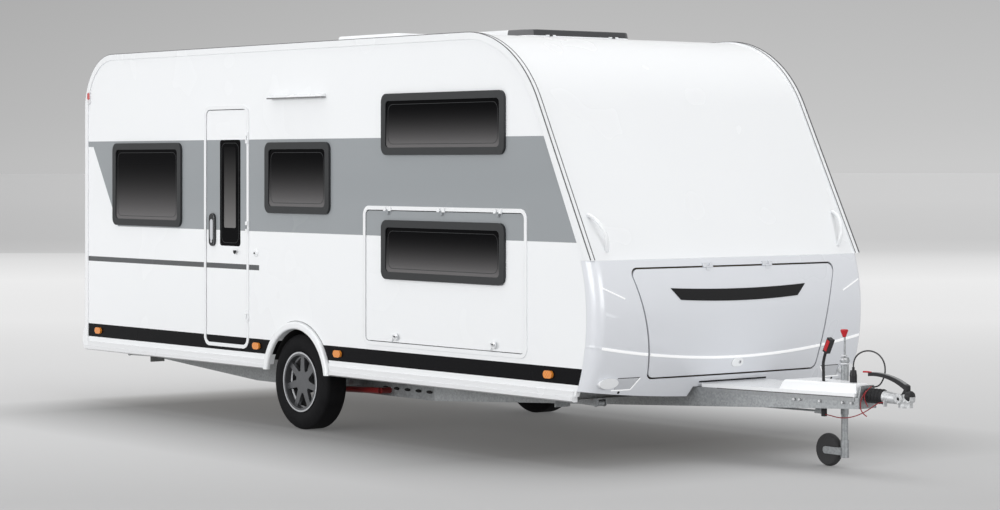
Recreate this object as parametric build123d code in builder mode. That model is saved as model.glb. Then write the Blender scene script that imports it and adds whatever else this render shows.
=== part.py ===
# Travel caravan, single axle, parked on its jockey wheel
# Millimetres. +X towards the tow coupling, +Y to the left, +Z up, origin on the ground under the middle.
import os
from math import atan, cos, degrees, pi, radians, sin, sqrt, tan

from build123d import *

os.makedirs("parts", exist_ok=True)

# Overall sizes
total_length = 7660
body_length = 6054
body_width = 2260
body_height = 2220
floor_z = 430
deck_rise = 31
wall = 30
rear_radius = 400
front_radius = 800
slope_angle = 27.5
seam_z = 1250
bumper_depth = 60

# Sides of the body: the sign of the outward direction seen from Plane.XZ
right, left = 1, -1

# Clearances and one overrun for every cut
panel_gap = 5
run_fit = 0.5
seat_gap = 0.3
nose_joint = 1
pivot_gap = 6
overrun = 40

half_length = total_length / 2
half_width = body_width / 2
inner_half = half_width - wall
roof_z = floor_z + body_height
deck_z = floor_z + deck_rise
rear_x = bumper_depth - half_length
seam_x = rear_x + body_length

slope = radians(slope_angle)
arc_end_z = roof_z - front_radius + front_radius * sin(slope)
front_curve_x = seam_x - (arc_end_z - seam_z) * tan(slope) - front_radius * cos(slope)
rear_curve_x = rear_x + rear_radius

# Nose: a moulded cover that bellies forward below the seam and bows across the front
nose_step = 11
nose_belly = 52
nose_tuck = 66
nose_belly_z = 840
nose_return = 100
nose_corner = 70
nose_bow = 45
skirt_z = 395
nose_corner_z = 463

# Wheels
wheel_share = 0.4823
wheel_radius = 328
tyre_width = 196
wheel_inset = 110
track = body_width - 2 * wheel_inset
rim_radius = 190.5
rim_lip = 17
rim_width = 164
rim_wall = 8
hub_radius = 78
wheel_x = rear_x + wheel_share * body_length
wheel_y = track / 2


def along(share):
    """Place along the side wall, from its rear end to the seam."""
    return rear_x + share * body_length


def side_plane(side, out=0):
    """Plane of a side wall's outer face, moved outwards."""
    return Plane.XZ.offset(side * (half_width + out))


def slope_x(z, inset=0):
    """Place of the sloped front at a height."""
    return seam_x + (seam_z - z) * tan(slope) - inset / cos(slope)


# A-frame drawbar: where its two beams start, meet and taper
rail_inset = 430
joint_run = 3920
beam_front_setback = 368
rail_y = half_width - rail_inset
joint_x = rear_x + joint_run
beam_front_x, beam_front_y = half_length - beam_front_setback, 72
beam_front_low_z, beam_top_z = 392, 458
beam_rear_low_z = 245
beam_length = sqrt((beam_front_x - joint_x) ** 2 + (rail_y - beam_front_y) ** 2)
beam_cos = (beam_front_x - joint_x) / beam_length
beam_sin = (rail_y - beam_front_y) / beam_length


def beam_half_width(place_x, inset=0):
    """Half the drawbar's outer width at a place along X."""
    return beam_front_y + (beam_front_x - place_x) * beam_sin / beam_cos - inset


def cover_plan(start, end, inset):
    """Plan between two places along X, following the beams."""
    with BuildLine() as edge:
        Polyline((start, -beam_half_width(start, inset)), (end, -beam_half_width(end, inset)),
                 (end, beam_half_width(end, inset)), (start, beam_half_width(start, inset)), close=True)
    make_face(edge.edges())


def finish(builder, name):
    """Label a finished piece and write its file."""
    builder.part.label = name
    export_step(builder.part, "parts/" + name + ".step")


# Profile of the body, read clockwise from the rear foot
def roof_profile(inset):
    """Rear wall, roof and sloped front as one open line, moved inwards by inset."""
    rear_arc = rear_radius - inset
    front_arc = front_radius - inset
    rear_mid = (rear_curve_x - rear_arc * cos(pi / 4), roof_z - rear_radius + rear_arc * sin(pi / 4))
    front_mid_angle = (pi / 2 + slope) / 2
    front_mid = (front_curve_x + front_arc * cos(front_mid_angle),
                 roof_z - front_radius + front_arc * sin(front_mid_angle))
    front_end = (front_curve_x + front_arc * cos(slope),
                 roof_z - front_radius + front_arc * sin(slope))
    return [(rear_x + inset, floor_z), (rear_x + inset, roof_z - rear_radius), rear_mid,
            (rear_curve_x, roof_z - inset), (front_curve_x, roof_z - inset), front_mid,
            front_end, (slope_x(seam_z, inset), seam_z)]


def nose_profile(inset, low_z):
    """Three points of the nose's arc, moved back by inset."""
    return [(seam_x + nose_step - inset, seam_z), (seam_x + nose_step + nose_belly - inset, nose_belly_z),
            (seam_x + nose_step - nose_tuck - inset, low_z)]


rear_foot, rear_top, rear_mid, roof_rear, roof_front, front_mid, front_end, front_foot = roof_profile(0)
in_foot, in_top, in_rear_mid, in_roof_rear, in_roof_front, in_front_mid, in_front_end, in_front_foot = (
    roof_profile(wall))

# Windows of hinged double acrylic: side, middle, sill height, width, height
wide_window, wide_window_h = 986, 617
small_window, small_window_h = 791, 492
bunk_window, bunk_window_h = 1309, 402
window_corner = 55
window_border = 48
window_proud = 18
window_shares = (
    (right, 0.1516, 0.5155, wide_window, wide_window_h),
    (right, 0.4838, 0.5608, small_window, small_window_h),
    (right, 0.7575, 0.7121, bunk_window, bunk_window_h),
    (left, 0.1516, 0.5155, wide_window, wide_window_h),
    (left, 0.7575, 0.7121, bunk_window, bunk_window_h),
    (left, 0.7575, 0.4075, bunk_window, bunk_window_h),
)
rear_window, rear_window_h = 1500, 617
rear_window_share = 0.5155

# Entrance door and the bunk hatch in the right wall
door_share = 0.3328
door_width, door_height = 592, 1721
door_sill = 92
door_corner = 72
hatch_share = 0.7568
hatch_width, hatch_height = 1741, 921
hatch_sill = 201
hatch_corner = 62
frame_rim = 26
frame_proud = 6
door_x = along(door_share)
door_z = floor_z + door_sill + door_height / 2
hatch_x = along(hatch_share)
hatch_z = floor_z + hatch_sill + hatch_height / 2

# Wheel arch
arch_radius = 352
arch_drop = 12
arch_flange = 52
arch_proud = 28
arch_z = wheel_radius + arch_drop

# Refrigerator grilles and service hatch in the left wall
grille_share = 0.33
grille_width, grille_height = 486, 249
grille_low_share, grille_high_share = 0.37, 0.52
service_share = 0.60
service_width, service_height = 356, 296
service_sill = 170
service_corner = 22
service_x = along(service_share)
service_z = floor_z + service_sill + service_height / 2


# Hinge places: beside the door leaf, above the hatch leaf and the service hatch
hinge_reach = 24
hinge_stand = 12
door_hinge_x = door_x + door_width / 2 - frame_rim
door_hinge_y = -half_width - hinge_stand
door_hinge_shares = (0.12, 0.5, 0.88)
door_leaf_height = door_height - 2 * frame_rim - 2 * panel_gap
leaf_width = hatch_width - 2 * frame_rim - 2 * panel_gap
leaf_height = hatch_height - 2 * frame_rim - 2 * panel_gap
hatch_hinge_y = -half_width - hinge_stand
hatch_hinge_z = hatch_z + leaf_height / 2 + panel_gap / 2
hatch_hinge_shares = (0.15, 0.5, 0.85)
service_hinge_stand = 6
service_hinge_y = half_width + service_hinge_stand
service_hinge_z = service_z + service_height / 2 - panel_gap / 2
service_hinge_shares = (0.25, 0.75)


def wall_outline():
    """Face of a side wall: the body's profile with the nose's return taken off."""
    with BuildLine() as edge:
        Polyline(rear_foot, rear_top)
        ThreePointArc(rear_top, rear_mid, roof_rear)
        Line(roof_rear, roof_front)
        ThreePointArc(roof_front, front_mid, front_end)
        Line(front_end, front_foot)
        top, belly, low = nose_profile(nose_return + nose_joint, skirt_z)
        Line(front_foot, top)
        ThreePointArc(top, belly, low)
        Polyline(low, (rear_x, skirt_z), rear_foot)
    make_face(edge.edges())
    with Locations((rear_x + body_length / 2, floor_z - overrun)):
        Rectangle(2 * body_length, 2 * overrun, mode=Mode.SUBTRACT)


def window_holes(side):
    """Cut the windows of one side wall."""
    for window_side, place, sill, width, height in window_shares:
        if window_side == side:
            with Locations((along(place), roof_z * sill + height / 2)):
                RectangleRounded(width - 2 * window_border, height - 2 * window_border,
                                 window_corner - window_border / 2, mode=Mode.SUBTRACT)


def arch_hole(radius, mode=Mode.SUBTRACT):
    """Round the wheel, open downwards."""
    with Locations((wheel_x, arch_z)):
        Circle(radius, mode=mode)
    with Locations((wheel_x, arch_z - radius)):
        Rectangle(2 * radius, 2 * radius, mode=mode)


# Hinges: a fixed pair of knuckles with the pin, and one moving knuckle between them
hinge_radius, hinge_pin, hinge_fit = 5, 2, 0.1
knuckle_length, knuckle_gap = 26, 1


def knuckles(place, towards, inward, reach, bridge, pad=None, moving=False):
    """Knuckles of one hinge, carried by a strip that reaches towards their panel."""
    base = Plane(origin=place, x_dir=towards, z_dir=Vector(*towards).cross(Vector(*inward)))
    half = knuckle_length / 2
    starts = (-half,) if moving else (-half - knuckle_gap - knuckle_length, half + knuckle_gap)
    with BuildPart() as hinge:
        for start in starts:
            with BuildSketch(base.offset(start)):
                Circle(hinge_radius)
                with Locations((0, bridge[0])):
                    Rectangle(reach, bridge[1] - bridge[0], align=(Align.MIN, Align.MIN))
                if pad:
                    with Locations((pad[0], 0)):
                        Rectangle(reach - pad[0], pad[1], align=(Align.MIN, Align.MIN))
                Circle(hinge_pin + hinge_fit, mode=Mode.SUBTRACT)
            extrude(amount=knuckle_length)
        if not moving:
            with BuildSketch(base.offset(starts[0])):
                Circle(hinge_pin)
            extrude(amount=3 * knuckle_length + 2 * knuckle_gap)
            for start in starts:
                with BuildSketch(base.offset(start)):
                    Circle(hinge_radius)
                extrude(amount=knuckle_length)
    return hinge.part


def ring(plane, place, z, width, height, corner, rim, hole_corner):
    """Rounded rectangular ring drawn on a plane."""
    with BuildSketch(plane) as drawn:
        with Locations((place, z)):
            RectangleRounded(width, height, corner)
            RectangleRounded(width - 2 * rim, height - 2 * rim, hole_corner, mode=Mode.SUBTRACT)
    return drawn.sketch


# Side walls
with BuildPart() as wall_right:
    with BuildSketch(side_plane(right)):
        wall_outline()
        window_holes(right)
        with Locations((door_x, door_z)):
            RectangleRounded(door_width - 2 * frame_rim, door_height - 2 * frame_rim,
                             door_corner - frame_rim, mode=Mode.SUBTRACT)
        with Locations((hatch_x, hatch_z)):
            RectangleRounded(hatch_width - 2 * frame_rim, hatch_height - 2 * frame_rim,
                             hatch_corner - frame_rim, mode=Mode.SUBTRACT)
        arch_hole(arch_radius)
    extrude(amount=-wall)
finish(wall_right, "wall_right")

with BuildPart() as wall_left:
    with BuildSketch(side_plane(left)):
        wall_outline()
        window_holes(left)
        for height_share in (grille_low_share, grille_high_share):
            with Locations((along(grille_share), roof_z * height_share)):
                Rectangle(grille_width, grille_height, mode=Mode.SUBTRACT)
        with Locations((service_x, service_z)):
            RectangleRounded(service_width, service_height, service_corner, mode=Mode.SUBTRACT)
        arch_hole(arch_radius)
    extrude(amount=wall)
    for share in service_hinge_shares:
        place = (service_x + (share - 0.5) * service_width, service_hinge_y, service_hinge_z)
        add(knuckles(place, (0, 0, 1), (0, -1, 0), hinge_reach, (-hinge_pin, hinge_pin),
                     (panel_gap, service_hinge_stand)))
finish(wall_left, "wall_left")

# Roof sheet with its two openings
skylight_share, skylight_x_size, skylight_y_size = 0.705, 700, 900
vent_share, vent_x_size, vent_y_size = 0.407, 800, 500
hatch_flange = 40
hatch_curb = 22
roof_hole_corner = 40
lid_hinge_out = 7
lid_hinge_share = 0.3
roof_hinge_reach = 12
roof_holes = (
    (skylight_share, skylight_x_size, skylight_y_size),
    (vent_share, vent_x_size, vent_y_size),
)
with BuildPart() as roof:
    with BuildSketch(Plane.XY.offset(roof_z)):
        with Locations(((rear_curve_x + front_curve_x) / 2, 0)):
            Rectangle(front_curve_x - rear_curve_x, 2 * inner_half)
        for place, x_size, y_size in roof_holes:
            with Locations((along(place), 0)):
                RectangleRounded(x_size - 2 * hatch_flange, y_size - 2 * hatch_flange,
                                 roof_hole_corner, mode=Mode.SUBTRACT)
    extrude(amount=-wall)
    for place, x_size, y_size in roof_holes:
        extrude(ring(Plane.XY.offset(roof_z), along(place), 0, x_size, y_size,
                     roof_hole_corner + hatch_flange, hatch_flange, roof_hole_corner), amount=hatch_curb)
        for sign in (-1, 1):
            place_x = along(place) + x_size / 2 + lid_hinge_out
            add(knuckles((place_x, sign * lid_hinge_share * y_size, roof_z + hatch_curb), (-1, 0, 0),
                         (0, 0, -1), roof_hinge_reach, (seat_gap, hinge_radius)))
finish(roof, "roof")

# Sloped front and rounded rear end
with BuildPart() as front_panel:
    with BuildSketch(Plane.XZ):
        with BuildLine():
            ThreePointArc(roof_front, front_mid, front_end)
            Line(front_end, front_foot)
            Line(front_foot, in_front_foot)
            Line(in_front_foot, in_front_end)
            ThreePointArc(in_front_end, in_front_mid, in_roof_front)
            Line(in_roof_front, roof_front)
        make_face()
    extrude(amount=inner_half, both=True)
finish(front_panel, "front_panel")

lamp_width, lamp_height = 150, 560
lamp_y_share = 0.86
lamp_proud = 26
with BuildPart() as rear_panel:
    with BuildSketch(Plane.XZ):
        with BuildLine():
            Line(rear_foot, rear_top)
            ThreePointArc(rear_top, rear_mid, roof_rear)
            Line(roof_rear, in_roof_rear)
            ThreePointArc(in_roof_rear, in_rear_mid, in_top)
            Line(in_top, in_foot)
            Line(in_foot, rear_foot)
        make_face()
    extrude(amount=inner_half, both=True)
    with BuildSketch(Plane.YZ.offset(rear_x)):
        with Locations((0, roof_z * rear_window_share + rear_window_h / 2)):
            RectangleRounded(rear_window - 2 * window_border, rear_window_h - 2 * window_border,
                             window_corner - window_border / 2)
    extrude(amount=wall + overrun, both=True, mode=Mode.SUBTRACT)
finish(rear_panel, "rear_panel")

# Floor with the wheel boxes standing on it
floor_thickness = 42
floor_front_x = seam_x + nose_step - nose_return - nose_tuck
box_wall = 6
box_inset = 270
box_inner_y = half_width - box_inset
box_radius = arch_radius + box_wall
with BuildPart() as floor:
    with BuildSketch(Plane.XY.offset(deck_z)):
        with Locations(((rear_x + wall + floor_front_x) / 2, 0)):
            Rectangle(floor_front_x - rear_x - wall, 2 * inner_half)
        box_half = sqrt(arch_radius ** 2 - (deck_z - arch_z) ** 2)
        for side in (right, left):
            with Locations((wheel_x, -side * (box_inner_y + inner_half) / 2)):
                Rectangle(2 * box_half, inner_half - box_inner_y, mode=Mode.SUBTRACT)
    extrude(amount=floor_thickness)
    for side in (right, left):
        with BuildSketch(side_plane(side, -wall)):
            with Locations((wheel_x, arch_z)):
                Circle(box_radius)
            with Locations((wheel_x, deck_z - box_radius)):
                Rectangle(2 * box_radius, 2 * box_radius, mode=Mode.SUBTRACT)
        extrude(amount=-side * (inner_half - box_inner_y + box_wall))
        with BuildSketch(side_plane(side, -wall)):
            with Locations((wheel_x, arch_z)):
                Circle(arch_radius)
        extrude(amount=-side * (inner_half - box_inner_y), mode=Mode.SUBTRACT)
finish(floor, "floor")

# Bulkhead and shelf that close the front locker off from the cabin
bulkhead_x = seam_x - 420
bulkhead_thickness = 16
shelf_drop = 40
with BuildPart() as locker_bulkhead:
    with BuildSketch(Plane.XZ):
        with BuildLine():
            shelf_z = seam_z - shelf_drop
            Polyline((bulkhead_x, deck_z + floor_thickness), (bulkhead_x, shelf_z),
                     (seam_x - nose_return, shelf_z), (seam_x - nose_return, shelf_z - bulkhead_thickness),
                     (bulkhead_x + bulkhead_thickness, shelf_z - bulkhead_thickness),
                     (bulkhead_x + bulkhead_thickness, deck_z + floor_thickness), close=True)
        make_face()
    extrude(amount=inner_half, both=True)
finish(locker_bulkhead, "locker_bulkhead")

# Nose shell, locker lid and the dark vent strip in the lid
bow_radius = (half_width ** 2 + nose_bow ** 2) / (2 * nose_bow)
bow_x = seam_x + nose_step + nose_bow - bow_radius
bow_half_angle = degrees(atan(half_width / bow_radius)) * 1.2
bow_turn = radians(bow_half_angle)
bow_plane = Plane(origin=(bow_x, 0, 0), x_dir=(cos(bow_turn), -sin(bow_turn), 0),
                  z_dir=(-sin(bow_turn), -cos(bow_turn), 0))
bow_axis = Axis((bow_x, 0, 0), (0, 0, 1))


def bowed_slab(front_inset, back_inset, half, corner, top_z, low_z):
    """Slab that follows the nose's profile and bow, between two insets from its face."""
    with BuildPart() as slab:
        with BuildSketch(bow_plane):
            front = nose_profile(bow_x - nose_bow + front_inset, skirt_z)
            back = nose_profile(bow_x - nose_bow + back_inset, skirt_z)
            with BuildLine():
                ThreePointArc(*front)
                Line(front[2], back[2])
                ThreePointArc(*reversed(back))
                Line(back[0], front[0])
            make_face()
        revolve(axis=bow_axis, revolution_arc=2 * bow_half_angle)
        with BuildSketch(Plane.YZ.offset(seam_x)):
            with Locations((0, (top_z + low_z) / 2)):
                Rectangle(2 * half, top_z - low_z)
        extrude(amount=half_width, both=True, mode=Mode.INTERSECT)
        if corner > 0:
            fillet(slab.edges().filter_by(lambda e: abs(abs(e.center().Y) - half) < overrun
                                          and e.length > (top_z - low_z) * 0.9)
                   .sort_by(Axis.X)[-2:], corner)
    return slab.part


lid_top_inset, lid_mid_inset, lid_low_inset = 260, 335, 418
lid_top_half, lid_mid_half = half_width - lid_top_inset, half_width - lid_mid_inset
lid_low_half = half_width - lid_low_inset
lid_top_z, lid_mid_z, lid_low_z = 1204, 980, 524
lid_corner = 42
lid_gap = 10
lid_thickness = 14


def lid_outline(gap):
    """Outline of the locker lid seen from the front, smaller by a gap."""
    with BuildLine() as edge:
        for sign in (1, -1):
            ThreePointArc((sign * (lid_top_half - gap), lid_top_z - gap),
                          (sign * (lid_mid_half - gap), lid_mid_z),
                          (sign * (lid_low_half - gap), lid_low_z + gap))
        Line((lid_top_half - gap, lid_top_z - gap), (gap - lid_top_half, lid_top_z - gap))
        Line((lid_low_half - gap, lid_low_z + gap), (gap - lid_low_half, lid_low_z + gap))
    face = make_face(edge.edges())
    fillet(face.vertices(), lid_corner)


lid_hinge_lead = 74
lid_hinge_x = seam_x + lid_hinge_lead
lid_hinge_z = lid_top_z - lid_gap / 2
lid_hinge_y = 250
lid_hinge_drop = 14
notch_gap = 8
notch_flare = 30
notch_top_z = 461
notch_top_half = beam_half_width(seam_x - nose_return) + notch_gap
notch_low_half = notch_top_half + notch_flare
with BuildPart() as nose_shell:
    add(bowed_slab(0, nose_return, half_width, nose_corner, seam_z, skirt_z))
    add(bowed_slab(wall, nose_return + overrun, inner_half, nose_corner - wall, seam_z - wall, skirt_z),
        mode=Mode.SUBTRACT)
    with BuildSketch(Plane.YZ.offset(seam_x - nose_return)):
        lid_outline(0)
    extrude(amount=nose_return * 3, mode=Mode.SUBTRACT)
    with BuildSketch(Plane.YZ.offset(seam_x - half_width)):
        with BuildLine():
            ThreePointArc((-half_width, nose_corner_z), (0, skirt_z), (half_width, nose_corner_z))
            Polyline((half_width, nose_corner_z), (half_width, skirt_z - overrun),
                     (-half_width, skirt_z - overrun), (-half_width, nose_corner_z))
        make_face()
    extrude(amount=2 * half_width, mode=Mode.SUBTRACT)
    with BuildSketch(Plane.YZ.offset(seam_x - half_width)):
        with BuildLine():
            Polyline((-notch_low_half, skirt_z - overrun), (-notch_low_half, skirt_z),
                     (-notch_top_half, notch_top_z), (notch_top_half, notch_top_z),
                     (notch_low_half, skirt_z), (notch_low_half, skirt_z - overrun), close=True)
        make_face()
    extrude(amount=2 * half_width, mode=Mode.SUBTRACT)
    for sign in (-1, 1):
        add(knuckles((lid_hinge_x, sign * lid_hinge_y, lid_hinge_z), (0, 0, 1), (-1, 0, 0),
                     hinge_reach, (-hinge_pin, hinge_pin), (lid_gap / 2 + hinge_pin, lid_hinge_drop)))
finish(nose_shell, "nose_shell")

strip_inset, strip_low_inset = 228, 303
strip_half, strip_low_half = lid_mid_half - strip_inset, lid_mid_half - strip_low_inset
strip_top_z, strip_top_mid_z, strip_low_z, strip_low_mid_z = 1075, 1060, 1002, 986
strip_depth = 7
strip_proud = 3


def strip_outline(gap):
    """Outline of the dark strip on the lid."""
    with BuildLine() as edge:
        ThreePointArc((-strip_half - gap, strip_top_z + gap), (0, strip_top_mid_z + gap),
                      (strip_half + gap, strip_top_z + gap))
        ThreePointArc((-strip_low_half - gap, strip_low_z - gap), (0, strip_low_mid_z - gap),
                      (strip_low_half + gap, strip_low_z - gap))
        Line((-strip_half - gap, strip_top_z + gap), (-strip_low_half - gap, strip_low_z - gap))
        Line((strip_half + gap, strip_top_z + gap), (strip_low_half + gap, strip_low_z - gap))
    make_face(edge.edges())


with BuildPart() as lid_strip_pocket:
    add(bowed_slab(-strip_proud, strip_depth, half_width, 0, seam_z, skirt_z))
    with BuildSketch(Plane.YZ.offset(seam_x - nose_return)):
        strip_outline(0)
    extrude(amount=nose_return * 3, mode=Mode.INTERSECT)

with BuildPart() as locker_lid:
    add(bowed_slab(0, lid_thickness, half_width, 0, seam_z, skirt_z))
    with BuildSketch(Plane.YZ.offset(seam_x - nose_return)):
        lid_outline(lid_gap)
    extrude(amount=nose_return * 3, mode=Mode.INTERSECT)
    add(lid_strip_pocket.part, mode=Mode.SUBTRACT)
    for sign in (-1, 1):
        add(knuckles((lid_hinge_x, sign * lid_hinge_y, lid_hinge_z), (0, 0, -1), (-1, 0, 0),
                     hinge_reach, (-hinge_pin, hinge_pin), (lid_gap / 2 + hinge_pin, lid_hinge_drop),
                     moving=True))
finish(locker_lid, "locker_lid")
finish(lid_strip_pocket, "lid_strip")

# Aluminium corner rails over the joints of walls and roof
rail_lap = 34
rail_proud = 9


def profile_band(outer_inset, inner_inset):
    """Closed band between two lines of the body's profile."""
    outer = roof_profile(outer_inset)
    inner = roof_profile(inner_inset)
    with BuildLine() as edge:
        for line in (outer, inner):
            Line(line[0], line[1])
            ThreePointArc(line[1], line[2], line[3])
            Line(line[3], line[4])
            ThreePointArc(line[4], line[5], line[6])
            Line(line[6], line[7])
        Line(outer[0], inner[0])
        Line(outer[7], inner[7])
    make_face(edge.edges())


with BuildPart() as corner_rails:
    for side in (right, left):
        for lap, depth, place in ((rail_lap, rail_proud, rail_proud), (0, rail_lap, 0)):
            with BuildSketch(side_plane(side, place)):
                profile_band(-rail_proud, lap)
            extrude(amount=-side * depth)
finish(corner_rails, "corner_rails")

# Sill profiles under the side walls
sill_depth = 18
sill_step = 9
sill_top_z = 462
sill_mid_z = 428
with BuildPart() as side_sills:
    arch_reach = arch_radius + arch_flange
    for side in (right, left):
        spans = ((rear_x, wheel_x - arch_reach), (wheel_x + arch_reach, floor_front_x))
        for start, end in spans:
            with BuildSketch(Plane.YZ.offset(start)):
                with BuildLine():
                    face_y = -side * half_width
                    out = -side
                    Polyline((face_y, sill_top_z), (face_y + out * sill_step, sill_top_z),
                             (face_y + out * sill_step, sill_mid_z), (face_y + out * sill_depth, sill_mid_z),
                             (face_y + out * sill_depth, skirt_z + sill_step), (face_y, skirt_z),
                             (face_y - out * wall, skirt_z), (face_y - out * wall, floor_z),
                             (face_y, floor_z), close=True)
                make_face()
            extrude(amount=end - start)
    add(corner_rails.part, mode=Mode.SUBTRACT)
finish(side_sills, "side_sills")

# Wheel arch flanges
with BuildPart() as wheel_arches:
    for side in (right, left):
        with BuildSketch(side_plane(side)):
            arch_hole(arch_radius + arch_flange, Mode.ADD)
            arch_hole(arch_radius)
            with Locations((wheel_x, skirt_z - 2 * arch_reach)):
                Rectangle(4 * arch_reach, 4 * arch_reach, mode=Mode.SUBTRACT)
        extrude(amount=side * arch_proud)
    fillet(wheel_arches.edges().filter_by(GeomType.CIRCLE)
           .filter_by(lambda e: abs(e.center().Y) > half_width + arch_proud / 2), arch_proud * 0.5)
finish(wheel_arches, "wheel_arches")


# Window frames and panes
pane_inset = 8
with BuildPart() as window_frames:
    for side, place, sill, width, height in window_shares:
        frame_ring = ring(side_plane(side), along(place), roof_z * sill + height / 2, width, height,
                          window_corner, window_border, window_corner - window_border / 2)
        extrude(frame_ring, amount=side * window_proud)
    rear_ring = ring(Plane.YZ.offset(rear_x), 0, roof_z * rear_window_share + rear_window_h / 2,
                     rear_window, rear_window_h, window_corner, window_border,
                     window_corner - window_border / 2)
    extrude(rear_ring, amount=-window_proud)
finish(window_frames, "window_frames")

with BuildPart() as window_panes:
    for side, place, sill, width, height in window_shares:
        with BuildSketch(side_plane(side, -pane_inset)):
            with Locations((along(place), roof_z * sill + height / 2)):
                RectangleRounded(width - 2 * window_border, height - 2 * window_border,
                                 window_corner - window_border / 2)
        extrude(amount=side * window_proud)
    with BuildSketch(Plane.YZ.offset(rear_x + pane_inset)):
        with Locations((0, roof_z * rear_window_share + rear_window_h / 2)):
            RectangleRounded(rear_window - 2 * window_border, rear_window_h - 2 * window_border,
                             window_corner - window_border / 2)
    extrude(amount=-window_proud)
finish(window_panes, "window_panes")

# Entrance door: frame, leaf, window and handle
door_gap = panel_gap
door_leaf_width = door_width - 2 * frame_rim - 2 * door_gap
door_window_width, door_window_height = 272, 757
door_window_rise = 721
door_window_shift = 47
door_window_corner = 24
handle_rise, handle_shift = 834, -178
handle_width, handle_height, handle_depth = 74, 237, 20
with BuildPart() as opening_frames:
    extrude(ring(side_plane(right), door_x, door_z, door_width, door_height, door_corner,
                 frame_rim, door_corner - frame_rim), amount=frame_proud)
    extrude(ring(side_plane(right), hatch_x, hatch_z, hatch_width, hatch_height, hatch_corner,
                 frame_rim, hatch_corner - frame_rim), amount=frame_proud)
    for share in door_hinge_shares:
        place = (door_hinge_x, door_hinge_y, door_z + (share - 0.5) * door_leaf_height)
        add(knuckles(place, (1, 0, 0), (0, 1, 0), hinge_reach, (-hinge_pin, hinge_pin),
                     (panel_gap / 2, hinge_stand - frame_proud)))
    for share in hatch_hinge_shares:
        place = (hatch_x + (share - 0.5) * leaf_width, hatch_hinge_y, hatch_hinge_z)
        add(knuckles(place, (0, 0, 1), (0, 1, 0), hinge_reach, (-hinge_pin, hinge_pin),
                     (panel_gap, hinge_stand - frame_proud)))
finish(opening_frames, "opening_frames")

with BuildPart() as door_leaf:
    with BuildSketch(side_plane(right)):
        with Locations((door_x, door_z)):
            RectangleRounded(door_leaf_width, door_leaf_height, door_corner - frame_rim - door_gap)
    extrude(amount=-wall)
    with BuildSketch(side_plane(right)):
        with Locations((door_x + door_window_shift, floor_z + door_sill + door_window_rise
                        + door_window_height / 2)):
            RectangleRounded(door_window_width, door_window_height, door_window_corner)
    extrude(amount=-wall, mode=Mode.SUBTRACT)
    for share in door_hinge_shares:
        place = (door_hinge_x, door_hinge_y, door_z + (share - 0.5) * door_leaf_height)
        add(knuckles(place, (-1, 0, 0), (0, 1, 0), hinge_reach, (-hinge_pin, hinge_pin),
                     (2 * panel_gap, hinge_stand), moving=True))
finish(door_leaf, "door_leaf")

with BuildPart() as door_window:
    with BuildSketch(side_plane(right)):
        with Locations((door_x + door_window_shift, floor_z + door_sill + door_window_rise
                        + door_window_height / 2)):
            RectangleRounded(door_window_width, door_window_height, door_window_corner)
    extrude(amount=-wall)
finish(door_window, "door_window")

with BuildPart() as door_handle:
    with BuildSketch(side_plane(right)):
        with Locations((door_x + handle_shift, floor_z + door_sill + handle_rise)):
            SlotOverall(handle_height, handle_width, rotation=90)
            SlotOverall(handle_height * 0.62, handle_width * 0.45, rotation=90, mode=Mode.SUBTRACT)
    extrude(amount=handle_depth)
    fillet(door_handle.edges().group_by(Axis.Y)[0], handle_depth * 0.4)
finish(door_handle, "door_handle")

# Bunk hatch: frame, leaf and its own window
hatch_window_share = 0.7575
hatch_window_rise = 643
hatch_window_h = 388
hatch_window_x = along(hatch_window_share)
hatch_window_z = floor_z + hatch_window_rise + hatch_window_h / 2
latch_shares = (0.188, 0.793)
latch_rise = 57
latch_radius, latch_proud = 21, 14
with BuildPart() as bunk_hatch_leaf:
    with BuildSketch(side_plane(right)):
        with Locations((hatch_x, hatch_z)):
            RectangleRounded(leaf_width, leaf_height, hatch_corner - frame_rim - panel_gap)
        with Locations((hatch_window_x, hatch_window_z)):
            RectangleRounded(bunk_window - 2 * window_border, hatch_window_h - 2 * window_border,
                             window_corner - window_border / 2, mode=Mode.SUBTRACT)
    extrude(amount=-wall)
    for latch_share in latch_shares:
        with BuildSketch(side_plane(right)):
            with Locations((hatch_x - hatch_width / 2 + latch_share * hatch_width,
                            hatch_z - hatch_height / 2 + latch_rise)):
                Circle(latch_radius)
        extrude(amount=latch_proud)
    for share in hatch_hinge_shares:
        place = (hatch_x + (share - 0.5) * leaf_width, hatch_hinge_y, hatch_hinge_z)
        add(knuckles(place, (0, 0, -1), (0, 1, 0), hinge_reach, (-hinge_pin, hinge_pin),
                     (panel_gap, hinge_stand), moving=True))
finish(bunk_hatch_leaf, "bunk_hatch_leaf")

with BuildPart() as bunk_hatch_window_frame:
    extrude(ring(side_plane(right), hatch_window_x, hatch_window_z, bunk_window, hatch_window_h,
                 window_corner, window_border, window_corner - window_border / 2), amount=window_proud)
finish(bunk_hatch_window_frame, "bunk_hatch_window_frame")

with BuildPart() as bunk_hatch_pane:
    with BuildSketch(side_plane(right, -pane_inset)):
        with Locations((hatch_window_x, hatch_window_z)):
            RectangleRounded(bunk_window - 2 * window_border, hatch_window_h - 2 * window_border,
                             window_corner - window_border / 2)
    extrude(amount=window_proud)
finish(bunk_hatch_pane, "bunk_hatch_pane")

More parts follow.
